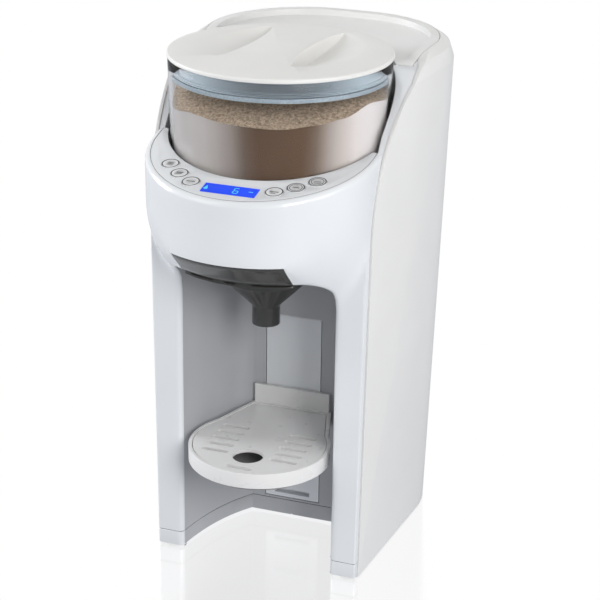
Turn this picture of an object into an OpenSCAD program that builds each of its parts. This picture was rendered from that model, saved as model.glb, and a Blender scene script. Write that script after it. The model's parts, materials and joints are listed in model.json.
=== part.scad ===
// Countertop baby formula maker: powder hopper on top, bottle bay in front, water tank behind.
// Millimetres, +Z up, origin at the bottom centre of the whole machine, front towards -Y.

/* [Overall] */
// Width across the side shells at their widest, near the top
body_w = 220; // [200:1:264]
// Width across the side shells at the floor
base_w = 197; // [186:1:236]
// Depth from the front of the control head to the back
body_d = 324; // [300:1:390]
// Height of the hopper lid
body_h = 432; // [400:1:520]
// Distance from the front of the head back to the hopper's axis
axis_back = 126.5; // [118:0.5:140]
// Wall thickness of the moulded housings
wall = 2.5; // [2:0.1:3.5]
// Height of the base pan's visible band
base_band = 16; // [12:0.5:22]
// Visible groove between the front housing and the side shells
groove = 1.5; // [0.8:0.1:2.5]
// Clearance between pieces that are lifted or slid by hand
slip = 0.5; // [0.4:0.05:0.9]
// Clearance between fixed pieces that fit into each other
fit = 0.3; // [0.2:0.05:0.4]

/* [Control head] */
// Radius of the rounded front of the head
head_r = 93; // [90:0.5:98]
// Slope of the control panel, rising to the back
panel_tilt = 11.3; // [6:0.1:16]
// Height of the panel above the floor at the hopper's front wall
panel_z = 352; // [335:1:368]
// Thickness of the control panel
panel_t = 3; // [2.5:0.1:4]
// Width of the front housing's lip round the panel
panel_lip = 3; // [2.5:0.1:4]
// Drop from the panel to the lower edge of the head's front face
face_h = 51; // [44:1:56]
// Height of the bay's ceiling above the floor
bay_top = 272; // [258:1:279]
// Radius of a push button
button_r = 7.1; // [6:0.1:8]
// Width of the display window
lcd_w = 44.5; // [36:0.5:48]
// Depth of the display window up the slope
lcd_h = 14; // [11:0.5:15]

/* [Bottle bay] */
// Width of the bay at its mouth
bay_w = 132; // [128:1:140]
// Depth of the bay's back wall behind the hopper's axis
bay_back = 39; // [34:1:46]
// Width of the flat back wall
bay_back_w = 73; // [66:1:84]
// Distance of the columns' front from the hopper's axis
column_y = 50; // [46:0.5:56]
// Radius of the drip tray
tray_r = 59; // [52:0.5:62]
// Height of the tray's top above the floor
tray_z = 108; // [96:1:124]
// Distance of the funnel and the tray's hole in front of the hopper's axis
funnel_y = 28; // [26:0.5:34]

/* [Hopper] */
// Outer radius of the hopper at its rim
hopper_r = 90; // [86:0.5:91.5]
// Outer radius of the hopper at its floor
hopper_foot_r = 86; // [80:0.5:88]
// Wall of the clear hopper
hopper_wall = 2.4; // [2:0.1:3]
// Height of the deck that the hopper stands on
deck_z = 324; // [318:0.5:330]
// Thickness of the lid's disc
lid_t = 3.5; // [3:0.5:5]
// Height of the lid's inner ring below the disc
skirt_h = 12; // [10:0.5:16]
// Radius of the dosing wheel
wheel_r = 44; // [40:0.5:50]
// Number of dosing pockets in the wheel
wheel_pockets = 6; // [4:1:8]

/* [Drive] */
// Gear module
gear_m = 1; // [0.9:0.05:1.1]
// Teeth on the drive gear
gear_teeth = 28; // [24:4:32]
// Teeth on the motor pinion
pinion_teeth = 12; // [10:1:14]
// Radius of the gear motor
motor_r = 19; // [16:0.5:20]

/* [Water] */
// Height of the tank's floor above the machine's base
tank_z = 205; // [180:1:230]
// Depth of the tank from front to back
tank_d = 78; // [60:1:84]
// Wall of the tank
tank_wall = 2.4; // [2:0.1:3]
// Half the width of the window in the back
window_half = 52; // [40:1:60]
// Outer radius of the water tubes
tube_r = 4; // [3.5:0.1:4.5]

/* [Hidden] */
$fn = 96;
bend_fn = 32;
eps = 0.01;
big = 600;

// Places along the machine: y = 0 is the middle of its depth
axis_y = -body_d / 2 + axis_back;
back_y = body_d / 2;
rim_z = body_h - 8;
foot_h = 2;
above_all = body_h + 100;

// Envelope of the side shells: a wide round back and two small front corners
back_r_low = 85;
back_r_high = 97;
front_half_low = base_w / 2 - 9;
front_half_high = body_w / 2 - 14;
shoulder = 16;
corner_r = 3;

// Blends from the value at the floor to the value at the rim
function rise(low, high, z) = low + (high - low) * z / (rim_z - shoulder);
function bezier2(a, b, c, n) =
    [for (i = [0:n]) let (t = i / n) a * (1 - t) ^ 2 + 2 * b * t * (1 - t) + c * t ^ 2];
function bezier3(a, b, c, d, n) =
    [for (i = [0:n]) let (t = i / n, s = 1 - t) a * s ^ 3 + 3 * b * s * s * t + 3 * c * s * t * t + d * t ^ 3];

module slice(z, inset) {
    front_half = rise(front_half_low, front_half_high, z) - inset - corner_r;
    back_r = rise(back_r_low, back_r_high, z);
    side = rise(base_w, body_w, z) / 2 - back_r;
    rear = rise(back_y - 12, back_y, z) - back_r;
    translate([0, 0, z]) linear_extrude(eps) for (s = [-1, 1]) {
        translate([s * front_half, axis_y - column_y + inset + corner_r]) circle(corner_r, $fn = 16);
        translate([s * side, rear]) circle(back_r - inset, $fn = 80);
    }
}

// The whole outside form, shrunk by inset on every side and at the top
module envelope(inset, floor_z) {
    hull() {
        slice(floor_z, inset);
        slice(rim_z - shoulder, inset);
        slice(rim_z - 5 - inset, 4 + inset);
        slice(rim_z - inset, shoulder - 4 + inset);
    }
}

// Upright prism inside the shoulder's lip, where the tank and its lid pass
module lip_prism(inset, z0, z1) {
    front_half = front_half_high - shoulder + 4 - inset - corner_r;
    translate([0, 0, z0]) linear_extrude(z1 - z0) hull() for (s = [-1, 1]) {
        translate([s * front_half, axis_y - column_y]) circle(corner_r, $fn = 16);
        translate([s * (body_w / 2 - back_r_high), back_y - back_r_high])
            circle(back_r_high - shoulder + 4 - inset, $fn = 80);
    }
}

// Side view of the cheek line: upright beside the columns, sweeping back to the rear deck
cheek = bezier3([-44, 300], [-41, 372], [14, rim_z - 6], [88, rim_z], 14);
module behind_cheek(forward, lower, x0, x1) {
    translate([x0, axis_y, 0]) rotate([90, 0, 90]) linear_extrude(x1 - x0)
        polygon(concat([[-44 - forward, -10]], [for (p = cheek) [p[0] - forward, p[1] - lower]],
            [[250, rim_z - lower], [250, -10]]));
}

// Plan of the bottle bay: open in front, narrowing to a flat back wall
function bay_side(grow) = bezier2([bay_w / 2 + grow, -column_y + 4], [bay_w / 2 - 6 + grow, 6],
    [bay_back_w / 2 + grow, bay_back + grow], 8);
module bay_plan(grow) {
    side = bay_side(grow);
    polygon(concat([[side[0][0], -140]], side, [for (i = [8:-1:0]) [-side[i][0], side[i][1]]],
        [[-side[0][0], -140]]));
}
bay_corner_r = 18;
module low_bay(grow, z0, z1) {
    translate([0, axis_y, z0]) linear_extrude(z1 - z0) bay_plan(grow);
}
module bay(grow, z0, z1) {
    half = bay_w / 2 + grow;
    r = bay_corner_r + grow;
    intersection() {
        translate([0, axis_y, z0]) linear_extrude(z1 - z0) bay_plan(grow);
        translate([0, axis_y + 100, 0]) rotate([90, 0, 0]) linear_extrude(300) {
            translate([-half, z0]) square([2 * half, z1 - z0 - r]);
            translate([r - half, z0]) square([2 * (half - r), z1 - z0]);
            for (s = [-1, 1]) translate([s * (half - r), z1 - r]) circle(r);
        }
    }
}

// Plan of the control head: a round front and straight sides
module head_plan(inset) {
    translate([0, axis_y - axis_back + head_r]) circle(head_r - inset);
    translate([inset - head_r, axis_y - axis_back + head_r]) square([2 * (head_r - inset), 60]);
}

// Plan of one column in front: a rounded nose that runs back into a flange
nose_r = (front_half_low - bay_w / 2) / 2;
module column_plan(side, inset) {
    translate([side * (bay_w / 2 + nose_r), axis_y - column_y + nose_r]) circle(nose_r - inset);
    translate([side * (bay_w / 2 + nose_r) - nose_r + inset, axis_y - column_y + nose_r])
        square([2 * (nose_r - inset), 100]);
}

// Side view of the head's underside: steep under the face, then down the columns
module head_profile(inset) {
    sweep = bezier3([-axis_back, panel_z - face_h - 6], [-axis_back + 26, bay_top + 4],
        [-column_y - 2, bay_top - 4], [-column_y, 205], 14);
    translate([-200, axis_y, 0]) rotate([90, 0, 90]) linear_extrude(400)
        polygon(concat([[60, 190], [60, 420], [-axis_back - 5 + inset, 420]],
            [for (p = sweep) [p[0] + inset, p[1] + inset * 0.4]], [[-column_y + inset, 190]]));
}

// Everything above the control panel's top plane, lowered by down
module above_panel(down) {
    translate([0, axis_y - hopper_r, panel_z - down]) rotate([panel_tilt, 0, 0])
        translate([-big / 2, -big / 2, 0]) cube([big, big, big / 2]);
}

module head_solid(inset) {
    difference() {
        intersection() {
            translate([0, 0, 190]) linear_extrude(220) head_plan(inset);
            head_profile(inset);
        }
        above_panel(inset == 0 ? 0 : panel_t);
        difference() {
            above_panel(panel_t);
            translate([0, 0, 300]) linear_extrude(120) difference() {
                head_plan(-1);
                head_plan(panel_lip);
            }
        }
    }
}

module columns(inset, z0, z1) {
    translate([0, 0, z0]) linear_extrude(z1 - z0) for (side = [-1, 1]) column_plan(side, inset);
}

module hopper_bore(r) {
    translate([0, axis_y, deck_z]) cylinder(r = r, h = above_all - deck_z);
}

module base_pan() {
    color("whitesmoke") difference() {
        union() {
            intersection() {
                envelope(wall + fit, foot_h);
                translate([-big / 2, axis_y - column_y + 1, foot_h]) cube([big, big, wall]);
            }
            difference() {
                columns(0, foot_h, base_band - 0.6);
                columns(wall, foot_h + wall, base_band);
                behind_cheek(groove, 0, -big / 2, big / 2);
            }
            difference() {
                low_bay(wall, foot_h, base_band - 0.6);
                translate([-big / 2, axis_y - 300 - column_y + 10, 0]) cube([big, 300, base_band]);
            }
        }
        low_bay(0, -1, base_band);
        for (p = foot_places) translate([p[0], axis_y + p[1], 0]) cylinder(r = 3, h = 10);
    }
}

foot_places = [[-79, -38], [79, -38], [-55, 130], [55, 130]];
module feet() {
    color("dimgray") for (p = foot_places) translate([p[0], axis_y + p[1], 0]) {
        cylinder(r = 7, h = foot_h);
        cylinder(r = 3 - fit / 2, h = foot_h + wall + 1);
    }
}

// The funnel's front plate closes this opening in the face
plate_half = 46.4;
funnel_top = bay_top + 22;
module face_opening() {
    translate([-plate_half, axis_y - axis_back - 10, bay_top - 40])
        cube([2 * plate_half, 60, funnel_top - bay_top + 40]);
}

module front_shell() {
    color("white") difference() {
        union() {
            difference() {
                union() {
                    head_solid(0);
                    columns(0, base_band, 215);
                }
                head_solid_hollow();
                columns(wall, base_band - 1, 208);
            }
            intersection() {
                bay(wall, base_band, bay_top + wall);
                union() {
                    head_solid(0);
                    columns(0, base_band, 216);
                    translate([-80, axis_y - column_y + 12, 0]) cube([160, 200, bay_top + wall]);
                }
            }
        }
        bay(0, base_band - 1, bay_top);
        low_bay(0, base_band - 1, bay_top - bay_corner_r - 5);
        behind_front();
        face_opening();
        rack_slot(0);
        translate([0, axis_y - funnel_y, bay_top - 1]) cylinder(r = chute_r + 6, h = 20);
        nozzle_hole();
    }
}

module head_solid_hollow() {
    difference() {
        union() {
            head_solid(wall);
            translate([0, 0, 300]) linear_extrude(100) head_plan(wall);
        }
        bay(wall, 100, bay_top + wall);
    }
}

// Outer skin is cut along the groove; the bay's own walls run on behind it
module behind_front() {
    difference() {
        behind_cheek(groove, 0, -big / 2, big / 2);
        bay(wall, 0, bay_top + wall);
    }
}

// Insert in the bay's back wall with one hook slot for each tray height
rack_half = 25;
rack_top = 190;
slot_heights = [22, 54, 86];
module rack_slot(clear) {
    translate([-rack_half - clear, axis_y + bay_back - 5, base_band + 2 - clear])
        cube([2 * (rack_half + clear), 20, rack_top - base_band + 2 * clear]);
}
module tray_rack() {
    color("gainsboro") difference() {
        translate([-rack_half + fit, axis_y + bay_back, base_band + 2 + fit])
            cube([2 * (rack_half - fit), wall + 6, rack_top - base_band - 2 * fit]);
        for (h = slot_heights) translate([-16, axis_y + bay_back - 1, h]) {
            cube([32, 5, 4]);
            translate([0, 4, 0]) cube([32, 2.5, 9]);
        }
    }
}

module shell_half(side) {
    difference() {
        envelope(0, foot_h - 1);
        envelope(wall, foot_h - 20);
        lip_prism(0, 300, above_all);
        mirror([side < 0 ? 0 : 1, 0, 0]) translate([-0.15, -big / 2, -10]) cube(big);
        translate([-window_half, axis_y + 100, 14]) cube([2 * window_half, 200, rim_z - 42]);
        difference() {
            translate([-big / 2, -big / 2, -50]) cube([big, big, 700]);
            behind_cheek(0, 0, -big / 2, big / 2);
        }
    }
}
module left_shell() {
    color("whitesmoke") shell_half(-1);
}
module right_shell() {
    color("whitesmoke") shell_half(1);
}

// Service panel that closes the back below the tank
cover_top = tank_z - 12;
module rear_cover() {
    color("gainsboro") difference() {
        intersection() {
            envelope(0, foot_h);
            translate([-window_half + slip, axis_y + 100, 14 + slip])
                cube([2 * (window_half - slip), 200, cover_top - 14 - slip]);
        }
        envelope(wall, foot_h - 20);
        inlet_cut(0.3);
        for (p = cover_screws) translate([p[0], back_surface(p[0], p[1]) - 30, p[1]]) rotate([-90, 0, 0]) {
            cylinder(r = screw_r + 0.2, h = 60);
            translate([0, 0, 27.7]) cylinder(r = screw_head_r + 0.4, h = 30);
        }
        for (i = [0:6]) translate([-24, back_y - 30, 110 + i * 8]) cube([48, 60, 3]);
    }
}

// Where the middle of the service panel's outer face lies at a place on it
function back_surface(x, z) = let (r = rise(back_r_low, back_r_high, z), side = rise(base_w, body_w, z) / 2 - r)
    rise(back_y - 12, back_y, z) - r + sqrt(r ^ 2 - max(0, abs(x) - side) ^ 2);
cover_screws = [[-42, 28], [42, 28], [-42, cover_top - 10], [42, cover_top - 10]];
screw_r = 1.6;
screw_head_r = 3.2;
screw_l = 15;

frame_y = axis_y + bay_back + wall + 6 + fit;
frame_t = 3;
pan_top = foot_h + wall;
shelf_t = 3;
tank_gap = 1.5 + max(0, body_w / 2 - shoulder + 4 + wall - rise(base_w, body_w, tank_z) / 2);
tank_rear = back_y - shoulder + 4 - tank_gap;
valve_y = tank_rear - tank_d + 22;
module inner_frame() {
    color("lightgray") difference() {
        union() {
            translate([-78, frame_y, pan_top]) cube([156, frame_t, deck_z - deck_t - pan_top]);
            intersection() {
                envelope(wall + 1, foot_h);
                union() {
                    translate([-100, frame_y, tank_z - shelf_t]) cube([200, 130, shelf_t]);
                    for (s = [-1, 1]) translate([s * 66 - 1.5, frame_y, pan_top])
                        cube([3, 84, tank_z - pan_top]);
                }
            }
            for (p = cover_screws) let (y = back_surface(p[0], p[1]) - wall - 3.5 - screw_l)
                translate([p[0] - 5, y, p[1] < 100 ? pan_top : p[1] - 5])
                    cube([10, screw_l, p[1] < 100 ? p[1] + 5 - pan_top : tank_z - p[1] + 4]);
        }
        for (p = cover_screws) translate([p[0], back_y - 40, p[1]]) rotate([-90, 0, 0])
            cylinder(r = screw_r + 0.05, h = 60);
        translate([0, valve_y, tank_z - 10]) cylinder(r = seat_r + fit, h = 20);
        translate([hot_x, hot_y, tank_z - 10]) cylinder(r = tube_r + 1, h = 20);
        translate([hot_x, frame_y - 10, hot_z]) rotate([-90, 0, 0]) cylinder(r = tube_r + 1, h = 30);
    }
}

deck_t = 4;
chute_r = 9;
shaft_r = 4;
shaft_gap = 0.05;
module hopper_deck() {
    color("gainsboro") difference() {
        union() {
            translate([0, 0, deck_z - deck_t]) linear_extrude(deck_t) difference() {
                union() {
                    head_plan(wall + fit);
                    translate([0, axis_y]) circle(hopper_r + 0.4);
                }
                translate([-big / 2, axis_y + 75]) square([big, 200]);
            }
            translate([0, axis_y, deck_z]) difference() {
                cylinder(r = hopper_r, h = 5);
                translate([0, 0, -1]) cylinder(r = hopper_foot_r + slip + 0.6, h = 10);
            }
            translate([0, axis_y, deck_z - deck_t - 5]) cylinder(r = 9, h = 6);
        }
        translate([0, axis_y, deck_z - 20]) cylinder(r = shaft_r + shaft_gap, h = 40);
        translate([0, axis_y - funnel_y, deck_z - 20]) cylinder(r = chute_r + fit, h = 40);
    }
}

// Surround that rises beside the hopper and carries the rear deck
collar_gap = 1.2;
module collar_form(drop) {
    intersection() {
        translate([0, 0, -drop]) envelope(wall + fit, deck_z);
        behind_cheek(0, 1 + drop, -big / 2, big / 2);
        translate([-big / 2, -big / 2, deck_z - drop]) cube([big, axis_y + 96 + big / 2, 200]);
    }
}
module hopper_collar() {
    color("white") difference() {
        collar_form(0);
        difference() {
            collar_form(3);
            translate([0, axis_y, 0]) cylinder(r = hopper_r + collar_gap + 3, h = above_all);
        }
        hopper_bore(hopper_r + collar_gap);
        difference() {
            lip_prism(0, rim_z - 12, above_all);
            translate([-big / 2, -big + axis_y + lid_front, 0]) cube([big, big, above_all]);
        }
        translate([0, axis_y, 0]) rotate([90, 0, 0]) translate([-hopper_r, deck_z - 5, 0])
            cube([2 * hopper_r, 80, 200]);
    }
}

// Crescent above the head's face, with the display window and six button holes
module on_panel(x, up) {
    translate([0, axis_y - hopper_r, panel_z]) rotate([panel_tilt, 0, 0]) translate([x, up, 0]) children();
}
function button_place(turn, out) = [(hopper_r + out) * sin(turn), hopper_r - (hopper_r + out) * cos(turn)];
button_places = [button_place(-37.4, 9.8), button_place(-27.4, 13.6), button_place(-18.4, 17.7),
    button_place(18.4, 17.7), button_place(27.4, 13.6), button_place(37.4, 9.8)];
lcd_up = hopper_r - 107.3;
module control_panel() {
    color("white") difference() {
        intersection() {
            translate([0, 0, 300]) linear_extrude(120) head_plan(panel_lip + fit / 2);
            difference() {
                above_panel(panel_t);
                above_panel(0);
            }
        }
        hopper_bore(hopper_r - 0.8);
        behind_cheek(groove, 0, -big / 2, big / 2);
        for (p = button_places) on_panel(p[0], p[1]) translate([0, 0, -10]) cylinder(r = button_r + fit, h = 20);
        on_panel(-lcd_w / 2, lcd_up - lcd_h / 2) translate([0, 0, -10]) cube([lcd_w, lcd_h, 20]);
    }
}

module display_lens() {
    color("royalblue", 0.7) on_panel(fit - lcd_w / 2, fit + lcd_up - lcd_h / 2) translate([0, 0, -1.7])
        cube([lcd_w - 2 * fit, lcd_h - 2 * fit, 1.5]);
}
module display_module() {
    color("navy") on_panel(-lcd_w / 2 - 1, lcd_up - lcd_h / 2) translate([0, 0, -panel_t - 2.8])
        cube([lcd_w + 2, lcd_h, 2.5]);
}
board_down = panel_t + 5.4;
board_t = 1.6;
module button_board() {
    color("darkgreen") difference() {
        intersection() {
            translate([0, 0, 300]) linear_extrude(120) head_plan(wall + 1);
            difference() {
                above_panel(board_down + board_t);
                above_panel(board_down);
            }
            translate([-73, axis_y - axis_back, 300]) cube([146, 70, 100]);
        }
        hopper_bore(hopper_r + 1);
        on_panel(-lcd_w / 2, lcd_up - lcd_h / 2) translate([0, 0, -20]) cube([lcd_w, 4, 40]);
    }
}
module button(i) {
    color("white") on_panel(button_places[i][0], button_places[i][1]) translate([0, 0, -board_down + 1.2]) {
        cylinder(r = button_r - 2, h = board_down - 1.2);
        translate([0, 0, board_down - 1.2 - panel_t + 1.1]) cylinder(r = button_r, h = panel_t - 0.6);
    }
}
module button_1() { button(0); }
module button_2() { button(1); }
module button_3() { button(2); }
module button_4() { button(3); }
module button_5() { button(4); }
module button_6() { button(5); }

hopper_top = body_h - lid_t;
hub_r = 8;
shoulder_z = deck_z + 30;
module hopper_form(inset, z0, z1) {
    translate([0, axis_y, 0]) rotate_extrude() polygon([[0, z0], [hopper_foot_r - inset, z0],
        [hopper_r - 3 - inset, shoulder_z], [hopper_r - 0.5 - inset, z1], [0, z1]]);
}
module hopper() {
    color("lightsteelblue", 0.35) difference() {
        hopper_form(0, deck_z, hopper_top - 0.3);
        hopper_form(hopper_wall, deck_z + 3, hopper_top + 1);
        translate([0, axis_y, 0]) cylinder(r = hub_r + slip, h = above_all);
        translate([0, axis_y - funnel_y, deck_z - 1]) cylinder(r = chute_r + 1, h = 10);
    }
}

wheel_z = deck_z + 3 + 0.4;
wheel_t = 10;
module dosing_wheel() {
    color("white") translate([0, axis_y, 0]) difference() {
        union() {
            translate([0, 0, wheel_z]) cylinder(r = wheel_r, h = wheel_t);
            translate([0, 0, deck_z + 0.4]) cylinder(r = hub_r, h = wheel_t);
        }
        for (i = [0:wheel_pockets - 1]) rotate(i * 360 / wheel_pockets + 30)
            translate([0, -funnel_y, wheel_z - 1]) cylinder(r = 9, h = wheel_t + 2);
        translate([0, 0, deck_z - 1]) cylinder(r = hex_r + 0.3, h = 10, $fn = 6);
    }
}

// Curved arms that sweep the powder in towards the wheel
arm_top = wheel_z + wheel_t + 6;
arm_reach = hopper_foot_r - hopper_wall - 2.5;
module stirrer() {
    color("white") translate([0, axis_y, 0]) {
        translate([0, 0, wheel_z + wheel_t]) cylinder(r = 7, h = 12);
        for (i = [0:3]) rotate(i * 90 + 20) translate([0, 0, wheel_z + wheel_t + 2.4])
            linear_extrude(arm_top - wheel_z - wheel_t) intersection() {
                translate([arm_reach / 2, 0]) difference() {
                    circle(arm_reach / 2);
                    circle(arm_reach / 2 - 3.5);
                }
                translate([0, 0]) square([200, 100]);
            }
    }
}

module dose_scraper() {
    reach = hopper_foot_r - hopper_wall - 0.5;
    color("gainsboro") translate([0, axis_y, wheel_z + wheel_t + 0.4]) {
        translate([0, -funnel_y, 0]) cylinder(r = chute_r + 3, h = 1.4);
        translate([-4, -reach, 0]) cube([8, reach - funnel_y, 1.4]);
        translate([-4, -reach, -wheel_t - 0.4]) cube([8, 3, wheel_t + 1]);
    }
}

seal_r = hopper_r - 3 - hopper_wall + 2.5 * (1 - (skirt_h + 5) / (hopper_top - shoulder_z));
module lid_seal() {
    color("slategray") translate([0, axis_y, hopper_top - skirt_h - 4]) difference() {
        cylinder(r = seal_r - fit, h = 3.4);
        translate([0, 0, -1]) cylinder(r = seal_r - 5, h = 6);
    }
}

// Twist lid: a white disc with two lens-shaped finger hollows that slope up to the rim
grip_y = 15;
grip_half = 57;
grip_in = 22;
grip_mid = 31;
grip_out = 66;
grip_depth = 13;
function arc_r(bulge) = (grip_half ^ 2 + bulge ^ 2) / (2 * bulge);
module grip(side) {
    inner_r = arc_r(grip_mid - grip_in);
    outer_r = arc_r(grip_out - grip_mid);
    translate([0, axis_y + grip_y, body_h]) intersection() {
        translate([0, 0, -grip_depth]) linear_extrude(grip_depth + 1) intersection() {
            translate([side * (grip_in + inner_r), 0]) circle(inner_r);
            translate([side * (grip_out - outer_r), 0]) circle(outer_r);
        }
        mirror([side < 0 ? 1 : 0, 0, 0]) translate([grip_in, -100, -grip_depth])
            rotate([0, -atan(grip_depth / (grip_out - grip_in)), 0]) cube([200, 200, 100]);
    }
}
lid_core = grip_depth - lid_t + 2;
module lid() {
    color("white") difference() {
        union() {
            translate([0, axis_y, hopper_top]) cylinder(r = hopper_r, h = lid_t);
            translate([0, axis_y, hopper_top - lid_core]) cylinder(r = seal_r - 6, h = lid_core + 0.5);
        }
        for (side = [-1, 1]) grip(side);
    }
}
module lid_ring() {
    color("slategray", 0.8) translate([0, axis_y, hopper_top - skirt_h]) difference() {
        cylinder(r = seal_r - slip, h = skirt_h);
        translate([0, 0, -1]) cylinder(r = seal_r - 4, h = skirt_h + 2);
        for (a = [-48, 72, 192]) rotate(a) translate([seal_r - 8, 0, 0]) {
            translate([0, -8, 5]) cube([12, 16, 2]);
            translate([0, 6, 5]) cube([12, 2, skirt_h]);
        }
    }
}

hex_r = 4.6;
gear_z = deck_z - deck_t - 15;
gear_t = 8;
module drive_shaft() {
    color("silver") translate([0, axis_y, 0]) {
        translate([0, 0, gear_z - 3]) cylinder(r = shaft_r, h = deck_z - gear_z + 3 + 0.6);
        translate([0, 0, deck_z + 0.6]) cylinder(r = hex_r, h = 7, $fn = 6);
    }
}

// Straight-flanked teeth with working backlash
function tooth(teeth, m, i) = let (r = teeth * m / 2, a = 360 * i / teeth, half = 90 / teeth - 4.4 * m / r * 1.6)
    [for (p = [[r - 1.25 * m, -half - 14 * m / r * 1.3], [r + 0.9 * m, -half + 12 * m / r * 1.3],
        [r + 0.9 * m, half - 12 * m / r * 1.3], [r - 1.25 * m, half + 14 * m / r * 1.3]])
        [p[0] * cos(a + p[1]), p[0] * sin(a + p[1])]];
module gear(teeth, thick, turn) {
    rotate(turn) linear_extrude(thick) polygon([for (i = [0:teeth - 1]) each tooth(teeth, gear_m, i)]);
}
gear_gap = (gear_teeth + pinion_teeth) * gear_m / 2;
module drive_gear() {
    color("ivory") translate([0, axis_y, gear_z]) difference() {
        gear(gear_teeth, gear_t, 90);
        translate([0, 0, -1]) cylinder(r = shaft_r, h = gear_t + 2);
    }
}
pinion_shaft_r = 2.5;
module motor_pinion() {
    color("goldenrod") translate([0, axis_y + gear_gap, 0]) {
        translate([0, 0, gear_z + 0.2]) gear(pinion_teeth, gear_t - 0.4, 270 + 180 / pinion_teeth);
        translate([0, 0, motor_top - 8]) cylinder(r = pinion_shaft_r, h = gear_z + 1 - motor_top + 8);
    }
}
motor_top = gear_z - 4;
module gear_motor() {
    motor_low = bay_top + wall + fit;
    color("silver") difference() {
        union() {
            translate([0, axis_y + gear_gap + 4, motor_low]) cylinder(r = motor_r, h = motor_top - motor_low);
            translate([-motor_r - 9, axis_y + gear_gap - 2, motor_top - 1.5])
                cube([2 * motor_r + 18, 12, 1.5]);
            for (s = [-1, 1]) translate([s * (motor_r + 5), axis_y + gear_gap + 4, motor_top - 1.5])
                cylinder(r = 3, h = deck_z - deck_t - motor_top + 1.5);
        }
        translate([0, axis_y + gear_gap, motor_top - 9]) cylinder(r = pinion_shaft_r + shaft_gap, h = 20);
    }
}

module powder_chute() {
    color("gainsboro") translate([0, axis_y - funnel_y, 0]) difference() {
        union() {
            translate([0, 0, bay_top - 0.5]) cylinder(r = chute_r, h = deck_z - 0.4 - bay_top + 0.5);
            translate([0, 0, deck_z - deck_t - 3.2]) cylinder(r = chute_r + 3, h = 3);
        }
        translate([0, 0, bay_top - 3]) cylinder(r = chute_r - 1.6, h = 100);
    }
}

// Smoked funnel drawer: curved front plate, sliding flange, cone and nozzle
flange_t = 3;
cone_r = 36;
nozzle_r = 11.5;
nozzle_z = 211;
cone_z = nozzle_z + 16;
bowl_z = bay_top - 20;
module funnel() {
    color("dimgray", 0.85) difference() {
        union() {
            intersection() {
                difference() {
                    head_solid(0.3);
                    head_solid(3.3);
                }
                translate([-plate_half + slip, axis_y - axis_back - 5, bay_top - 1])
                    cube([2 * (plate_half - slip), 55, funnel_top - bay_top - slip]);
            }
            translate([-plate_half + slip, axis_y - 92, bay_top - flange_t - 1])
                cube([2 * (plate_half - slip), 92 - funnel_y + cone_r + 4, flange_t]);
            translate([0, axis_y - funnel_y, bowl_z]) cylinder(r = cone_r, h = bay_top - flange_t - bowl_z);
            translate([0, axis_y - funnel_y, cone_z])
                cylinder(r1 = nozzle_r, r2 = cone_r, h = bowl_z + 0.01 - cone_z);
            translate([0, axis_y - funnel_y, nozzle_z]) cylinder(r = nozzle_r, h = cone_z + 1 - nozzle_z);
        }
        translate([0, axis_y - funnel_y, nozzle_z - 1]) cylinder(r = nozzle_r - 1.8, h = 60);
        translate([0, axis_y - funnel_y, cone_z])
            cylinder(r1 = nozzle_r - 1.8, r2 = cone_r - 1.8, h = bowl_z - cone_z);
        translate([0, axis_y - funnel_y, bowl_z - 0.01]) cylinder(r = cone_r - 1.8, h = 80);
    }
}

tray_hub_y = 41;
tray_lip = 3;
tray_depth = 17;
module tray_plan(inset) {
    translate([0, axis_y - tray_hub_y]) circle(tray_r - inset);
    polygon([[inset - tray_r + 2, axis_y - tray_hub_y + 8], [inset - 35, axis_y + bay_back - 0.6 - inset],
        [35 - inset, axis_y + bay_back - 0.6 - inset], [tray_r - 2 - inset, axis_y - tray_hub_y + 8]]);
}
module drip_tray() {
    hook_z = slot_heights[2];
    color("white") difference() {
        union() {
            translate([0, 0, tray_z - tray_depth]) linear_extrude(4) tray_plan(6);
            translate([0, 0, tray_z - tray_depth + 4]) linear_extrude(tray_depth - 4) tray_plan(0);
            translate([-34, axis_y + bay_back - 4, tray_z - 1]) cube([68, 3.4, 18]);
            translate([-14, axis_y + bay_back - 3, hook_z + 0.6]) cube([28, 6.6, 2.8]);
            translate([-14, axis_y + bay_back - 3, hook_z + 0.6]) cube([28, 3, 10]);
        }
        translate([0, 0, tray_z - tray_depth + 3]) linear_extrude(40) intersection() {
            tray_plan(8.5);
            translate([-100, axis_y - 200]) square([200, 200 + bay_back - 6]);
        }
        translate([0, 0, tray_z - 3]) linear_extrude(40) intersection() {
            tray_plan(tray_lip);
            translate([-100, axis_y - 200]) square([200, 200 + bay_back - 6]);
        }
    }
}

// Slots beside the cup's place, a short one in front and the drain hole
slot_l = 24;
slot_w = 4.6;
slot_pitch = 12;
module drip_grille() {
    color("white") difference() {
        union() {
            translate([0, 0, tray_z - 3]) linear_extrude(2.6) intersection() {
                tray_plan(tray_lip + slip);
                translate([-100, axis_y - 200]) square([200, 200 + bay_back - 8]);
            }
            for (s = [-1, 1]) translate([s * 30, axis_y - 12, tray_z - tray_depth + 3.2])
                cylinder(r = 3, h = tray_depth - 5.5);
        }
        translate([0, axis_y - 67.5, tray_z - 9]) cylinder(r = 12.7, h = 20);
        translate([0, axis_y - 89.5, tray_z - 9]) grille_slot();
        for (s = [-1, 1], i = [0:4]) translate([s * 30, axis_y - 66 + i * slot_pitch, tray_z - 5]) grille_slot();
    }
}
module grille_slot() {
    translate([slot_w / 2 - slot_l / 2, -slot_w / 2, 0]) cube([slot_l - slot_w, slot_w, 20]);
    for (s = [-1, 1]) translate([s * (slot_l - slot_w) / 2, 0, 0]) cylinder(r = slot_w / 2, h = 20);
}

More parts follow.
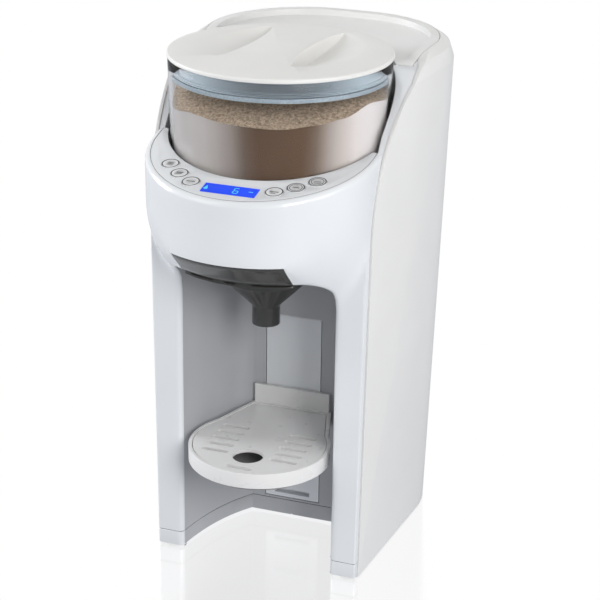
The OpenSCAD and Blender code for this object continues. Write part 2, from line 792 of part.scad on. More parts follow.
lid_front = 50;
lid_z = rim_z - 12;
module tank_form(inset, z0, z1) {
    intersection() {
        lip_prism(tank_gap + inset, z0, z1);
        translate([-big / 2, tank_rear - tank_d + inset, z0]) cube([big, tank_d, z1 - z0]);
    }
}
spout_r = 9;
module water_tank() {
    color("lightblue", 0.4) difference() {
        union() {
            tank_form(0, tank_z, lid_z);
            translate([0, valve_y, tank_z - 6]) cylinder(r = spout_r, h = 7);
        }
        tank_form(tank_wall, tank_z + tank_wall, lid_z + 1);
        translate([0, valve_y, tank_z - 10]) cylinder(r = 6, h = 30);
    }
}
module tank_lid() {
    color("white") difference() {
        intersection() {
            lip_prism(slip, lid_z, rim_z);
            translate([-big / 2, axis_y + lid_front + slip, lid_z]) cube([big, big, 20]);
            behind_cheek(0, 0, -big / 2, big / 2);
        }
        translate([0, axis_y, 0]) cylinder(r = hopper_r + 4, h = above_all);
        difference() {
            lip_prism(8, rim_z - 5, above_all);
            translate([-big / 2, -big + axis_y + lid_front + 4, 0]) cube([big, big, above_all]);
        }
        intersection() {
            lip_prism(4, lid_z - 1, lid_z + 4);
            translate([-big / 2, tank_rear - tank_d + 10, 0]) cube([big, tank_d - 18, above_all]);
        }
    }
}
seat_r = 13.5;
module tank_valve() {
    color("orange") translate([0, valve_y, 0]) {
        translate([0, 0, tank_z + tank_wall + 0.3]) cylinder(r = 9, h = 2.5);
        translate([0, 0, tank_z + 0.6]) cylinder(r = 2, h = tank_wall + 1);
    }
}
module valve_seat() {
    color("gray") translate([0, valve_y, 0]) difference() {
        union() {
            translate([0, 0, tank_z - 16]) cylinder(r = seat_r, h = 16 - 0.3);
            translate([0, 0, tank_z - 26]) cylinder(r = tube_r + 1.5, h = 11);
            translate([0, 0, tank_z - shelf_t - 3]) cylinder(r = seat_r + 3, h = 3);
        }
        difference() {
            translate([0, 0, tank_z - 8]) cylinder(r = spout_r + slip, h = 20);
            translate([0, 0, tank_z - 9]) cylinder(r = 1.5, h = 9.3);
        }
        translate([0, 0, tank_z - 27]) cylinder(r = tube_r - 1, h = 12);
    }
}

// Pump and heater stand side by side behind the bay
pump_x = -40;
pump_y = axis_y + 96;
pump_r = 20;
pump_z = pan_top + pump_r + 4;
pump_l = 54;
rotor_r = 14;
module water_pump() {
    color("silver") translate([pump_x, pump_y, pump_z]) rotate([0, 90, 0]) difference() {
        union() {
            cylinder(r = pump_r, h = pump_l);
            translate([-pump_r - 6, 0, 8]) rotate([0, 90, 0]) cylinder(r = tube_r + 1.5, h = 12);
            translate([-pump_r - 6, 0, 44]) rotate([0, 90, 0]) cylinder(r = tube_r + 1.5, h = 12);
            translate([pump_r - 4, -14, 4]) cube([8, 28, pump_l - 8]);
        }
        translate([0, 0, 3]) cylinder(r = rotor_r + 0.6, h = 13);
        translate([0, 0, 10]) cylinder(r = 2 + shaft_gap, h = 30);
        translate([-pump_r - 7, 0, 8]) rotate([0, 90, 0]) cylinder(r = tube_r - 1, h = 10);
    }
}
module pump_rotor() {
    color("dimgray") translate([pump_x, pump_y, pump_z]) rotate([0, 90, 0]) {
        translate([0, 0, 4]) cylinder(r = 5, h = 10);
        translate([0, 0, 4]) cylinder(r = 2, h = 34);
        for (i = [0:5]) rotate(i * 60) translate([4, -1, 4]) cube([rotor_r - 4.5, 2, 9]);
    }
}
heater_r = 17;
hot_x = 44;
hot_y = frame_y + frame_t + heater_r + 2.2;
hot_z = 288;
heater_h = 120;
module heater() {
    color("silver") difference() {
        union() {
            translate([hot_x, hot_y, pan_top]) cylinder(r = heater_r, h = heater_h);
            translate([hot_x, hot_y, pan_top + heater_h]) cylinder(r = tube_r + 1.5, h = 10);
        }
        translate([hot_x, hot_y, pan_top + heater_h + 1]) cylinder(r = tube_r - 1, h = 10);
    }
}

// Tube that follows points in straight runs with round elbows
module tube(points, r) {
    for (i = [0:len(points) - 2]) let (a = points[i], d = points[i + 1] - points[i], l = norm(d))
        translate(a) rotate([0, acos(d[2] / l), atan2(d[1], d[0])]) cylinder(r = r, h = l, $fn = 32);
    for (i = [1:1:len(points) - 2]) translate(points[i]) sphere(r, $fn = 24);
}
in_x = pump_x + 8;
out_x = pump_x + 44;
pump_port_z = pump_z + pump_r + 6;
module pump_tube() {
    color("white", 0.6) {
        tube([[0, valve_y, tank_z - 26], [0, valve_y, 120], [in_x, valve_y, 120], [in_x, pump_y, 120],
            [in_x, pump_y, pump_port_z]], tube_r);
        tube([[out_x, pump_y, pump_port_z], [out_x, pump_y, 100], [out_x, hot_y, 100],
            [hot_x - heater_r, hot_y, 100]], tube_r);
    }
}
nozzle_x = 22;
module heater_tube() {
    color("white", 0.6) tube([[hot_x, hot_y, pan_top + heater_h + 10], [hot_x, hot_y, hot_z],
        [hot_x, axis_y - funnel_y, hot_z], [nozzle_x + tube_r + 1, axis_y - funnel_y, hot_z]], tube_r);
}
module nozzle_hole() {
    translate([nozzle_x, axis_y - funnel_y, bay_top - 1]) cylinder(r = tube_r + fit, h = 20);
}
module water_nozzle() {
    color("gray") translate([nozzle_x, axis_y - funnel_y, 0]) difference() {
        union() {
            translate([0, 0, bay_top - 0.5]) cylinder(r = tube_r, h = hot_z - bay_top + 0.5);
            translate([0, 0, hot_z - tube_r - 1]) cylinder(r = tube_r + 1, h = 2 * tube_r + 2);
            translate([0, 0, bay_top + wall]) cylinder(r = tube_r + 3, h = 2);
        }
        translate([0, 0, bay_top - 4]) cylinder(r = tube_r - 1.5, h = hot_z - bay_top + 4);
    }
}
module main_board() {
    color("darkgreen") translate([0, frame_y + frame_t, 0]) {
        translate([-72, 0, 212]) cube([84, 1.6, 74]);
        translate([-60, 1.6, 226]) cube([22, 12, 18]);
        translate([-26, 1.6, 250]) cube([16, 8, 16]);
        translate([-24, 1.6, 222]) cube([26, 5, 14]);
    }
}
inlet_z = 52;
module inlet_cut(clear) {
    translate([-14 - clear, back_y - 60, inlet_z - 10 - clear]) cube([28 + 2 * clear, 80, 20 + 2 * clear]);
}
module power_inlet() {
    face = back_surface(0, inlet_z);
    color("black") difference() {
        union() {
            translate([-14, face - 24, inlet_z - 10]) cube([28, 24, 20]);
            translate([-16.5, face - wall - 3.4, inlet_z - 12.5]) cube([33, 2.4, 25]);
        }
        for (s = [-1, 1]) translate([s * 4, face - 14, inlet_z]) rotate([-90, 0, 0]) cylinder(r = 4.4, h = 30);
    }
}
module screws() {
    color("silver") for (p = cover_screws) let (y = back_surface(p[0], p[1]))
        translate([p[0], y - 2.2, p[1]]) rotate([-90, 0, 0]) {
            translate([0, 0, -screw_l + 1]) cylinder(r = screw_r, h = screw_l);
            cylinder(r = screw_head_r, h = 1.8);
        }
}

base_pan();
feet();
front_shell();
left_shell();
right_shell();
rear_cover();
inner_frame();
hopper_deck();
hopper_collar();
control_panel();
display_lens();
display_module();
button_board();
button_1();
button_2();
button_3();
button_4();
button_5();
button_6();
hopper();
dose_scraper();
lid_seal();
lid();
lid_ring();
dosing_wheel();
stirrer();
drive_shaft();
drive_gear();
motor_pinion();
gear_motor();
powder_chute();
funnel();
drip_tray();
drip_grille();
tray_rack();
water_tank();
tank_lid();
tank_valve();
valve_seat();
water_pump();
pump_rotor();
heater();
pump_tube();
heater_tube();
water_nozzle();
main_board();
power_inlet();
screws();
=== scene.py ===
"""A countertop baby formula maker: finishes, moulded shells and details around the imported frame."""

import json
import math

import bmesh
import bpy
from mathutils import Matrix, Vector

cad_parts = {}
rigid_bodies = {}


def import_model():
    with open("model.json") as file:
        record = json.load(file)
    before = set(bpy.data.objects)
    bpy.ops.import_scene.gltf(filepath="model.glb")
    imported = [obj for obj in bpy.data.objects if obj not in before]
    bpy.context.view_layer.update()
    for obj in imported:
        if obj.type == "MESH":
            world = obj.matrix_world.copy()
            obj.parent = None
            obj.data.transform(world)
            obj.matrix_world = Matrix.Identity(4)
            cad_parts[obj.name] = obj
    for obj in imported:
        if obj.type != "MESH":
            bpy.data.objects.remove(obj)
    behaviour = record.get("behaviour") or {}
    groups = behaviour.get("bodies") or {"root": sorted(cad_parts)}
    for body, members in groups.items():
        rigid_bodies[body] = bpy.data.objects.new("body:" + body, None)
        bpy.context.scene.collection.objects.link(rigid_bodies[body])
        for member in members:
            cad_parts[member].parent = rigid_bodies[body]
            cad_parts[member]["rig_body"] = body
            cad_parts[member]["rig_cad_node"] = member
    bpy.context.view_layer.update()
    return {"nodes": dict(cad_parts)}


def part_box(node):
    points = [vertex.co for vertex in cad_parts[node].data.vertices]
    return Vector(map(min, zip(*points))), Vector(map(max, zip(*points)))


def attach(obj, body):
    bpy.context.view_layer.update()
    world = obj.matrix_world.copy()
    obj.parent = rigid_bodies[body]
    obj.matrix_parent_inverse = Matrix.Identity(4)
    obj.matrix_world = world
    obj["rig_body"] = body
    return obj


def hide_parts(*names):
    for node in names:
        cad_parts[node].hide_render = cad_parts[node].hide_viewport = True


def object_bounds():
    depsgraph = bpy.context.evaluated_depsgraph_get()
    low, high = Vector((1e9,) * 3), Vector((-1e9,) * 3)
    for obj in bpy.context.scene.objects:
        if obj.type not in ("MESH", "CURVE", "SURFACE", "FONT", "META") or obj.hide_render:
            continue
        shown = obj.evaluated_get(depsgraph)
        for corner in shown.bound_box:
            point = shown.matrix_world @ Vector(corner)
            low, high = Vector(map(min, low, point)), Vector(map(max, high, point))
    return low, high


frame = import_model()

bl_info = {
    "name": "Baby Formula Maker",
    "version": (1, 0, 0),
    "blender": (4, 5, 0),
    "location": "View3D > Sidebar > Formula Maker",
    "description": "Builds the looks of a countertop baby formula maker",
    "category": "Object",
}

MM = 0.001

# Places that the frame gives, in millimetres
LID_LOW, LID_HIGH = (tuple(v / MM for v in corner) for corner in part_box("lid"))
HOPPER_LOW, HOPPER_HIGH = (tuple(v / MM for v in corner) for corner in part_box("hopper"))
GRILLE_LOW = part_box("drip_grille")[0][2] / MM
AXIS_Y = (LID_LOW[1] + LID_HIGH[1]) / 2
HOPPER_R = (LID_HIGH[0] - LID_LOW[0]) / 2
LID_TOP = LID_HIGH[2]
FRONT_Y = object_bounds()[0][1] / MM

# The head and the bottle bay, as the frame's front shell has them
HEAD_R = 93.0
PANEL_TILT = math.radians(11.3)
PANEL_Z = 352.0
FACE_LOW = 294.0
BAY_TOP = 272.0
BAY_CORNER = 18.0
BAY_HALF = 66.0
BAY_BACK = 39.0
BAY_BACK_HALF = 36.5
COLUMN_Y = -50.0
PLATE_HALF = 46.4
GROOVE = 1.5
RACK_TOP = 190.0


def colour(label, text, default):
    """A colour property with these words and this default."""
    return bpy.props.FloatVectorProperty(name=label, description=text, default=default, subtype="COLOR",
                                         size=3, min=0.0, max=1.0)


def length(label, text, millimetres):
    """A size property whose default is given in millimetres."""
    return bpy.props.FloatProperty(name=label, description=text, default=millimetres * MM, min=0.0,
                                   unit="LENGTH", subtype="DISTANCE", precision=4)


class FormulaSizes(bpy.types.PropertyGroup):
    """Sizes of the moulded details; the frame gives all the others."""
    nose_r: length(
        "Mouth nose", "How far the front rounds into the bay at the columns", 5.0)
    lintel_r: length(
        "Lintel edge", "How far the head rounds over the bay", 2.0)
    lip_r: length(
        "Panel lip", "Rounded lip between the face and the control panel", 4.0)
    seam: length(
        "Seam", "Width of the lines between the moulded parts", 0.35)
    shell_wall: length(
        "Shell wall", "Thickness of the front housing", 2.0)
    lid_edge: length(
        "Lid edge", "Height of the upright edge of the lid", 3.5)
    lid_round: length(
        "Lid rounding", "Radius of the upper edge of the lid", 1.4)
    hollow_deep: length(
        "Finger hollows", "Depth of the two finger hollows in the lid", 12.5)
    hopper_wall: length(
        "Hopper wall", "Thickness of the hopper", 2.4)
    heap: length(
        "Powder heap", "How far the powder rises towards the middle", 9.0)
    button_r: length(
        "Button radius", "Radius of a button cap", 7.1)
    print_line: length(
        "Printed line", "Width of the ring printed on a button", 0.95)
    cover_round: length(
        "Cover edges", "Rounding of the edges of the side shells", 0.9)
    tray_round: length(
        "Tray edge", "Rounding of the edges of the drip tray", 1.6)


class FormulaColours(bpy.types.PropertyGroup):
    """Colours of the finishes that show."""
    front_white: colour(
        "Front", "Front housing, base band and control panel", (0.8, 0.825, 0.85))
    # Darker than the front white: painted shade on the walls and ceiling of the bottle bay
    bay_white: colour(
        "Bay", "Walls and ceiling of the bottle bay", (0.46, 0.47, 0.49))
    side_white: colour(
        "Sides", "Side shells, tank lid and rear cover", (0.82, 0.82, 0.81))
    lid_white: colour(
        "Lid", "Lid over the powder hopper", (0.83, 0.825, 0.805))
    tray_white: colour(
        "Tray", "Drip tray and its grille", (0.82, 0.82, 0.815))
    # Grey that stands for the shade under the grille: painted shade on the tray's bowl
    bowl_grey: colour(
        "Tray bowl", "Bowl in the shade under the grille", (0.24, 0.24, 0.24))
    button_white: colour(
        "Buttons", "Round caps of the six buttons", (0.84, 0.85, 0.86))
    print_grey: colour(
        "Print", "Rings and marks printed on the buttons", (0.05, 0.05, 0.06))
    # Dark strips that stand for the shade in the fine gaps between the parts: painted shade
    seam_grey: colour(
        "Seams", "Fine lines between the moulded parts", (0.1, 0.1, 0.11))
    hopper_clear: colour(
        "Hopper", "Clear plastic of the powder hopper", (0.96, 0.96, 0.97))
    ring_blue: colour(
        "Lid ring", "Tinted ring under the lid", (0.42, 0.5, 0.55))
    slot_dark: colour(
        "Bayonet marks", "Outlines of the bayonet slots on the lid ring", (0.12, 0.15, 0.18))
    funnel_smoke: colour(
        "Funnel", "Smoked plastic of the funnel drawer", (0.055, 0.055, 0.052))
    display_blue: colour(
        "Display", "Backlight of the display", (0.02, 0.075, 0.86))
    display_cyan: colour(
        "Digits", "Lit digit and drop on the display", (0.1, 0.62, 0.95))
    powder_body: colour(
        "Powder", "Powder pressed against the hopper wall", (0.13, 0.076, 0.044))
    powder_grains: colour(
        "Grains", "Loose top of the powder", (0.56, 0.44, 0.32))


def size(name):
    """A size of the panel in the sidebar, in millimetres."""
    return getattr(bpy.context.scene.formula_sizes, name) / MM


def blend(low, high, t):
    return low + (high - low) * t


def clamp01(t):
    return max(0.0, min(1.0, t))


def ease(t):
    t = clamp01(t)
    return t * t * (3 - 2 * t)


def bezier(points, t):
    """A point of the Bezier curve with these control points."""
    points = [Vector(p) for p in points]
    while len(points) > 1:
        points = [a.lerp(b, t) for a, b in zip(points, points[1:])]
    return points[0]


def smooth_max(a, b, soft):
    """The larger of two numbers, rounded where they are within soft of each other."""
    h = max(soft - abs(a - b), 0.0) / soft
    return max(a, b) + h * h * soft * 0.25


# ---------------------------------------------------------------- making pieces


def deselect_all():
    if bpy.context.object and bpy.context.object.mode != "OBJECT":
        bpy.ops.object.mode_set(mode="OBJECT")
    bpy.ops.object.select_all(action="DESELECT")


def pick(piece):
    deselect_all()
    piece.select_set(True)
    bpy.context.view_layer.objects.active = piece


def apply_modifiers(piece):
    pick(piece)
    for modifier in list(piece.modifiers):
        bpy.ops.object.modifier_apply(modifier=modifier.name)


def smooth(piece, degrees=35):
    pick(piece)
    bpy.ops.object.shade_smooth_by_angle(angle=math.radians(degrees))


def tidy_mesh(piece, distance=0.02):
    """Merges doubled points and turns all faces outwards."""
    pick(piece)
    bpy.ops.object.mode_set(mode="EDIT")
    bpy.ops.mesh.select_all(action="SELECT")
    bpy.ops.mesh.remove_doubles(threshold=distance * MM)
    bpy.ops.mesh.normals_make_consistent(inside=False)
    bpy.ops.object.mode_set(mode="OBJECT")


def loft(name, columns, rows, place):
    """A grid primitive whose points are drawn to place(column, row), in millimetres."""
    deselect_all()
    bpy.ops.mesh.primitive_grid_add(x_subdivisions=columns - 1, y_subdivisions=rows - 1, size=1)
    piece = bpy.context.object
    piece.name = piece.data.name = name
    for index, vertex in enumerate(piece.data.vertices):
        row, column = divmod(index, columns)
        vertex.co = Vector(place(column, row)) * MM
    return piece


def turned(name, profile, steps=128, centre_y=None):
    """A profile of (radius, height) points spun once round an upright axis."""
    y0 = AXIS_Y if centre_y is None else centre_y
    outline = list(profile) + [profile[0]]

    def place(column, row):
        angle = math.tau * column / steps
        radius, height = outline[row]
        return radius * math.sin(angle), y0 - radius * math.cos(angle), height

    piece = loft(name, steps + 1, len(outline), place)
    tidy_mesh(piece)
    return piece


def join(name, pieces):
    deselect_all()
    for piece in pieces:
        piece.select_set(True)
    bpy.context.view_layer.objects.active = pieces[0]
    bpy.ops.object.join()
    joined = bpy.context.object
    joined.name = joined.data.name = name
    return joined


def node_copy(node, name):
    """A free copy of a CAD node, which it replaces."""
    source = frame["nodes"][node]
    piece = source.copy()
    piece.data = source.data.copy()
    piece.parent = None
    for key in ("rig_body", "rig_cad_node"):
        if key in piece:
            del piece[key]
    bpy.context.scene.collection.objects.link(piece)
    piece.name = piece.data.name = name
    piece.hide_render = piece.hide_viewport = False
    if piece.data.has_custom_normals:
        pick(piece)
        bpy.ops.mesh.customdata_custom_splitnormals_clear()
    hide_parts(node)
    return piece


def soft_copy(node, width, segments=3, angle=40):
    """A copy of a CAD node with its sharp edges rounded."""
    piece = node_copy(node, node + "_moulded")
    pick(piece)
    bpy.ops.object.mode_set(mode="EDIT")
    bpy.ops.mesh.select_all(action="SELECT")
    bpy.ops.mesh.remove_doubles(threshold=0.005 * MM)
    bpy.ops.mesh.dissolve_limited(angle_limit=math.radians(0.6))
    bpy.ops.object.mode_set(mode="OBJECT")
    bevel = piece.modifiers.new("rounded", "BEVEL")
    bevel.width = width * MM
    bevel.segments = segments
    bevel.limit_method = "ANGLE"
    bevel.angle_limit = math.radians(angle)
    bevel.use_clamp_overlap = True
    bevel.harden_normals = False
    apply_modifiers(piece)
    smooth(piece, 30)
    return piece


def add(piece, body, material):
    """Gives a finished piece its body and its material."""
    piece.data.materials.clear()
    piece.data.materials.append(material)
    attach(piece, body)
    return piece


# ---------------------------------------------------------------- finishes


def new_material(name):
    material = bpy.data.materials.new(name)
    material.use_nodes = True
    nodes, links = material.node_tree.nodes, material.node_tree.links
    return material, nodes, links, nodes["Principled BSDF"]


def object_noise(nodes, links, scale, detail=3.0, roughness=0.5, stretch=(1, 1, 1)):
    """Noise on the piece's own coordinates, scale in cycles a metre."""
    coordinates = nodes.new("ShaderNodeTexCoord")
    mapping = nodes.new("ShaderNodeMapping")
    mapping.inputs["Scale"].default_value = stretch
    noise = nodes.new("ShaderNodeTexNoise")
    noise.inputs["Scale"].default_value = scale
    noise.inputs["Detail"].default_value = detail
    noise.inputs["Roughness"].default_value = roughness
    links.new(coordinates.outputs["Object"], mapping.inputs["Vector"])
    links.new(mapping.outputs["Vector"], noise.inputs["Vector"])
    return noise.outputs["Fac"]


def between(nodes, links, factor, low, high):
    """A number that runs from low to high with the factor."""
    spread = nodes.new("ShaderNodeMapRange")
    spread.inputs["From Min"].default_value = 0.3
    spread.inputs["From Max"].default_value = 0.7
    spread.inputs["To Min"].default_value = low
    spread.inputs["To Max"].default_value = high
    links.new(factor, spread.inputs["Value"])
    return spread.outputs["Result"]


def two_tones(nodes, links, factor, first, second, low=0.3, high=0.7):
    ramp = nodes.new("ShaderNodeValToRGB")
    ramp.color_ramp.elements[0].position = low
    ramp.color_ramp.elements[0].color = (*first, 1)
    ramp.color_ramp.elements[1].position = high
    ramp.color_ramp.elements[1].color = (*second, 1)
    links.new(factor, ramp.inputs["Fac"])
    return ramp.outputs["Color"]


def multiplied(nodes, links, first, second):
    """The product of two colours."""
    product = nodes.new("ShaderNodeMix")
    product.data_type = "RGBA"
    product.blend_type = "MULTIPLY"
    product.inputs["Factor"].default_value = 1.0
    links.new(first, product.inputs["A"])
    links.new(second, product.inputs["B"])
    return product.outputs["Result"]


def add_bump(nodes, links, shader, factor, strength, depth_mm):
    bump = nodes.new("ShaderNodeBump")
    bump.inputs["Strength"].default_value = strength
    bump.inputs["Distance"].default_value = depth_mm * MM
    links.new(factor, bump.inputs["Height"])
    links.new(bump.outputs["Normal"], shader.inputs["Normal"])


def shaded(colour, share):
    return tuple(max(0.0, min(1.0, v * share)) for v in colour)


def moulded_plastic(name, colour, rough, coat=0.0, grain=0.12):
    """Injection-moulded plastic: faint cloudiness, an uneven gloss and a fine skin."""
    material, nodes, links, shader = new_material(name)
    cloud = object_noise(nodes, links, 14, 2)
    links.new(two_tones(nodes, links, cloud, shaded(colour, 0.975), shaded(colour, 1.015)),
              shader.inputs["Base Color"])
    sheen = object_noise(nodes, links, 55, 4)
    links.new(between(nodes, links, sheen, rough * 0.85, rough * 1.2), shader.inputs["Roughness"])
    skin = object_noise(nodes, links, 900, 2)
    add_bump(nodes, links, shader, skin, grain, 0.02)
    shader.inputs["Coat Weight"].default_value = coat
    shader.inputs["Coat Roughness"].default_value = 0.08
    shader.inputs["Specular IOR Level"].default_value = 0.45
    return material


def clear_plastic(name, colour, rough, transmission=1.0, alpha=1.0, ior=1.45):
    """Tinted see-through plastic with faint flow marks."""
    material, nodes, links, shader = new_material(name)
    flow = object_noise(nodes, links, 30, 2, stretch=(1, 1, 0.3))
    links.new(two_tones(nodes, links, flow, shaded(colour, 0.96), shaded(colour, 1.02)),
              shader.inputs["Base Color"])
    links.new(between(nodes, links, flow, rough * 0.8, rough * 1.3), shader.inputs["Roughness"])
    shader.inputs["Transmission Weight"].default_value = transmission
    shader.inputs["IOR"].default_value = ior
    shader.inputs["Alpha"].default_value = alpha
    return material


def metal(name, colour, rough):
    material, nodes, links, shader = new_material(name)
    brushed = object_noise(nodes, links, 220, 3, stretch=(1, 1, 12))
    links.new(two_tones(nodes, links, brushed, shaded(colour, 0.85), shaded(colour, 1.05)),
              shader.inputs["Base Color"])
    links.new(between(nodes, links, brushed, rough * 0.8, rough * 1.3), shader.inputs["Roughness"])
    shader.inputs["Metallic"].default_value = 1.0
    return material


def rubber(name, colour):
    material, nodes, links, shader = new_material(name)
    speckle = object_noise(nodes, links, 700, 3)
    links.new(two_tones(nodes, links, speckle, shaded(colour, 0.8), shaded(colour, 1.25)),
              shader.inputs["Base Color"])
    shader.inputs["Roughness"].default_value = 0.75
    add_bump(nodes, links, shader, speckle, 0.3, 0.05)
    return material


def circuit_board(name):
    """Green board with lighter tracks."""
    material, nodes, links, shader = new_material(name)
    coordinates = nodes.new("ShaderNodeTexCoord")
    bricks = nodes.new("ShaderNodeTexBrick")
    bricks.inputs["Scale"].default_value = 220
    bricks.inputs["Mortar Size"].default_value = 0.03
    bricks.inputs["Color1"].default_value = (0.02, 0.16, 0.07, 1)
    bricks.inputs["Color2"].default_value = (0.025, 0.19, 0.08, 1)
    bricks.inputs["Mortar"].default_value = (0.10, 0.30, 0.12, 1)
    links.new(coordinates.outputs["Object"], bricks.inputs["Vector"])
    links.new(bricks.outputs["Color"], shader.inputs["Base Color"])
    shader.inputs["Roughness"].default_value = 0.45
    return material


def lit_display(name, colour, strength):
    """Backlit display glass with a faintly uneven glow."""
    material, nodes, links, shader = new_material(name)
    glow = object_noise(nodes, links, 40, 1)
    tone = two_tones(nodes, links, glow, shaded(colour, 0.85), shaded(colour, 1.1))
    shader.inputs["Base Color"].default_value = (*shaded(colour, 0.3), 1)
    links.new(tone, shader.inputs["Emission Color"])
    shader.inputs["Emission Strength"].default_value = strength
    shader.inputs["Roughness"].default_value = 0.15
    shader.inputs["Specular IOR Level"].default_value = 0.1
    return material


def powder_body(name, colour):
    """Powder pressed against the hopper's wall: brown seen straight on, paler where it turns away as a
    painted reflection of the clear wall, and darker towards -x as painted shade.
    """
    material, nodes, links, shader = new_material(name)
    # Paler where the powder's surface turns away: a painted reflection of the clear hopper wall
    weight = nodes.new("ShaderNodeLayerWeight")
    weight.inputs["Blend"].default_value = 0.5
    ramp = nodes.new("ShaderNodeValToRGB")
    painted_reflection_stops = ((0.075, colour), (0.11, (0.20, 0.145, 0.105)), (0.16, (0.40, 0.35, 0.31)),
             (0.25, (0.62, 0.57, 0.53)), (0.34, (0.76, 0.72, 0.69)), (0.5, (0.80, 0.77, 0.75)))
    for place, _ in painted_reflection_stops[1:-1]:
        ramp.color_ramp.elements.new(place)
    for stop, (place, tone) in zip(ramp.color_ramp.elements, painted_reflection_stops):
        stop.position = place
        stop.color = (*tone, 1)
    links.new(weight.outputs["Facing"], ramp.inputs["Fac"])
    bands = object_noise(nodes, links, 9, 3, stretch=(1, 1, 0.5))
    # Darker towards -x, lighter towards +x: painted shade across the powder
    place = nodes.new("ShaderNodeTexCoord")
    across = nodes.new("ShaderNodeSeparateXYZ")
    links.new(place.outputs["Object"], across.inputs["Vector"])
    painted_shade_span = nodes.new("ShaderNodeMapRange")
    painted_shade_span.inputs["From Min"].default_value = -HOPPER_R * MM
    painted_shade_span.inputs["From Max"].default_value = HOPPER_R * MM
    links.new(across.outputs["X"], painted_shade_span.inputs["Value"])
    clouds = two_tones(nodes, links, bands, (0.88, 0.88, 0.88), (1, 1, 1))
    painted_side_shade = two_tones(nodes, links, painted_shade_span.outputs["Result"], (0.55, 0.54, 0.53), (0.98, 0.97, 0.97),
                        0.2, 0.85)
    clouded = multiplied(nodes, links, ramp.outputs["Color"], clouds)
    links.new(multiplied(nodes, links, clouded, painted_side_shade), shader.inputs["Base Color"])
    fine = object_noise(nodes, links, 900, 4)
    add_bump(nodes, links, shader, fine, 0.25, 0.2)
    shader.inputs["Roughness"].default_value = 0.9
    return material


def tinted_ring(name, colour):
    """Tinted ring: deep seen straight on, paler towards its sides, both a painted reflection."""
    material, nodes, links, shader = new_material(name)
    weight = nodes.new("ShaderNodeLayerWeight")
    weight.inputs["Blend"].default_value = 0.5
    # Dark seen straight on, paler where the ring turns away: a painted reflection on the tint
    links.new(two_tones(nodes, links, weight.outputs["Facing"], shaded(colour, 0.28), colour, 0.07, 0.4),
              shader.inputs["Base Color"])
    flow = object_noise(nodes, links, 60, 3, stretch=(1, 1, 8))
    links.new(between(nodes, links, flow, 0.16, 0.24), shader.inputs["Roughness"])
    shader.inputs["Coat Weight"].default_value = 0.4
    shader.inputs["Coat Roughness"].default_value = 0.05
    return material


def powder_grains(name, colour):
    """The loose, lumpy top of the powder."""
    material, nodes, links, shader = new_material(name)
    lumps = object_noise(nodes, links, 420, 6, 0.75)
    links.new(two_tones(nodes, links, lumps, shaded(colour, 0.42), shaded(colour, 1.3), 0.36, 0.62),
              shader.inputs["Base Color"])
    add_bump(nodes, links, shader, lumps, 1.0, 2.5)
    shader.inputs["Roughness"].default_value = 0.95
    return material


# ---------------------------------------------------------------- front housing

MOUTH_STEPS = 12
SIDE_STEPS = 18
EDGE_STEPS = 7
CORNER_STEPS = 9
FACE_ROWS = 9
LIP_ROWS = 6
LIP_TURN = 2.2
LEAN = 1.07
LOW_ROWS = [15.9, 17.7, 50, 80, 110, 140, 170, 190.3, 205, 212, 220, 228, 238, 248]


def half_width(z):
    return 89.7 + 5.5 * z / 408


def sweep_y(x, y, z):
    """The skin's depth: the head's plan above, the columns' front below, a slant between them."""
    soft = blend(2, 26, ease((abs(x) - PLATE_HALF) / 20))
    slant = y + LEAN * smooth_max(FACE_LOW - z, 0, soft)
    behind = AXIS_Y + COLUMN_Y - y
    column = smooth_max(y, AXIS_Y + COLUMN_Y, 3)
    return -smooth_max(-slant, -column, max(0.01, min(10, behind)))


CHEEK = [(-44, 300), (-41, 372), (14, 418), (88, 424)]


def cheek_y(z):
    """Where the side shell's front edge lies at this height."""
    if z <= CHEEK[0][1]:
        return AXIS_Y + CHEEK[0][0] - GROOVE
    low, high = 0.0, 1.0
    for _ in range(30):
        middle = (low + high) / 2
        if bezier([Vector((y, h, 0)) for y, h in CHEEK], middle).y < z:
            low = middle
        else:
            high = middle
    return AXIS_Y + bezier([Vector((y, h, 0)) for y, h in CHEEK], low).x - GROOVE


def panel_height(y):
    return PANEL_Z + (y - (AXIS_Y - HOPPER_R)) * math.tan(PANEL_TILT)


def plan_point(run, z, inset=0.0):
    """A point of the head's plan at a signed run along it from the middle of the front."""
    quarter = HEAD_R * math.pi / 2
    reach = abs(run)
    angle = min(reach, quarter) / HEAD_R
    x = math.copysign((half_width(z) - inset) * math.sin(angle), run)
    y = FRONT_Y + HEAD_R - (HEAD_R - inset) * math.cos(angle) + max(reach - quarter, 0)
    return x, y


def run_at_y(y):
    """How far along the plan the rear edge lies."""
    rest = y - (FRONT_Y + HEAD_R)
    if rest >= 0:
        return HEAD_R * math.pi / 2 + rest
    return HEAD_R * math.acos(min(1.0, -rest / HEAD_R))


def run_at_x(x, z):
    return HEAD_R * math.asin(min(1.0, x / half_width(z)))


def mouth_rows():
    """Heights of the mouth's rows and its half width there."""
    rows = [(z, BAY_HALF) for z in LOW_ROWS]
    last = math.acos((PLATE_HALF - BAY_HALF + BAY_CORNER) / BAY_CORNER)
    for k in range(CORNER_STEPS + 1):
        angle = last * k / CORNER_STEPS
        rows.append((BAY_TOP - BAY_CORNER + BAY_CORNER * math.sin(angle),
                     BAY_HALF - BAY_CORNER + BAY_CORNER * math.cos(angle)))
    rows[-1] = (BAY_TOP, PLATE_HALF)
    rows += [(BAY_TOP + rise, PLATE_HALF) for rise in (0.15, 0.5, 1.1, 1.9, 3.0, 7, 11, 15)]
    return rows + [(FACE_LOW, PLATE_HALF)]


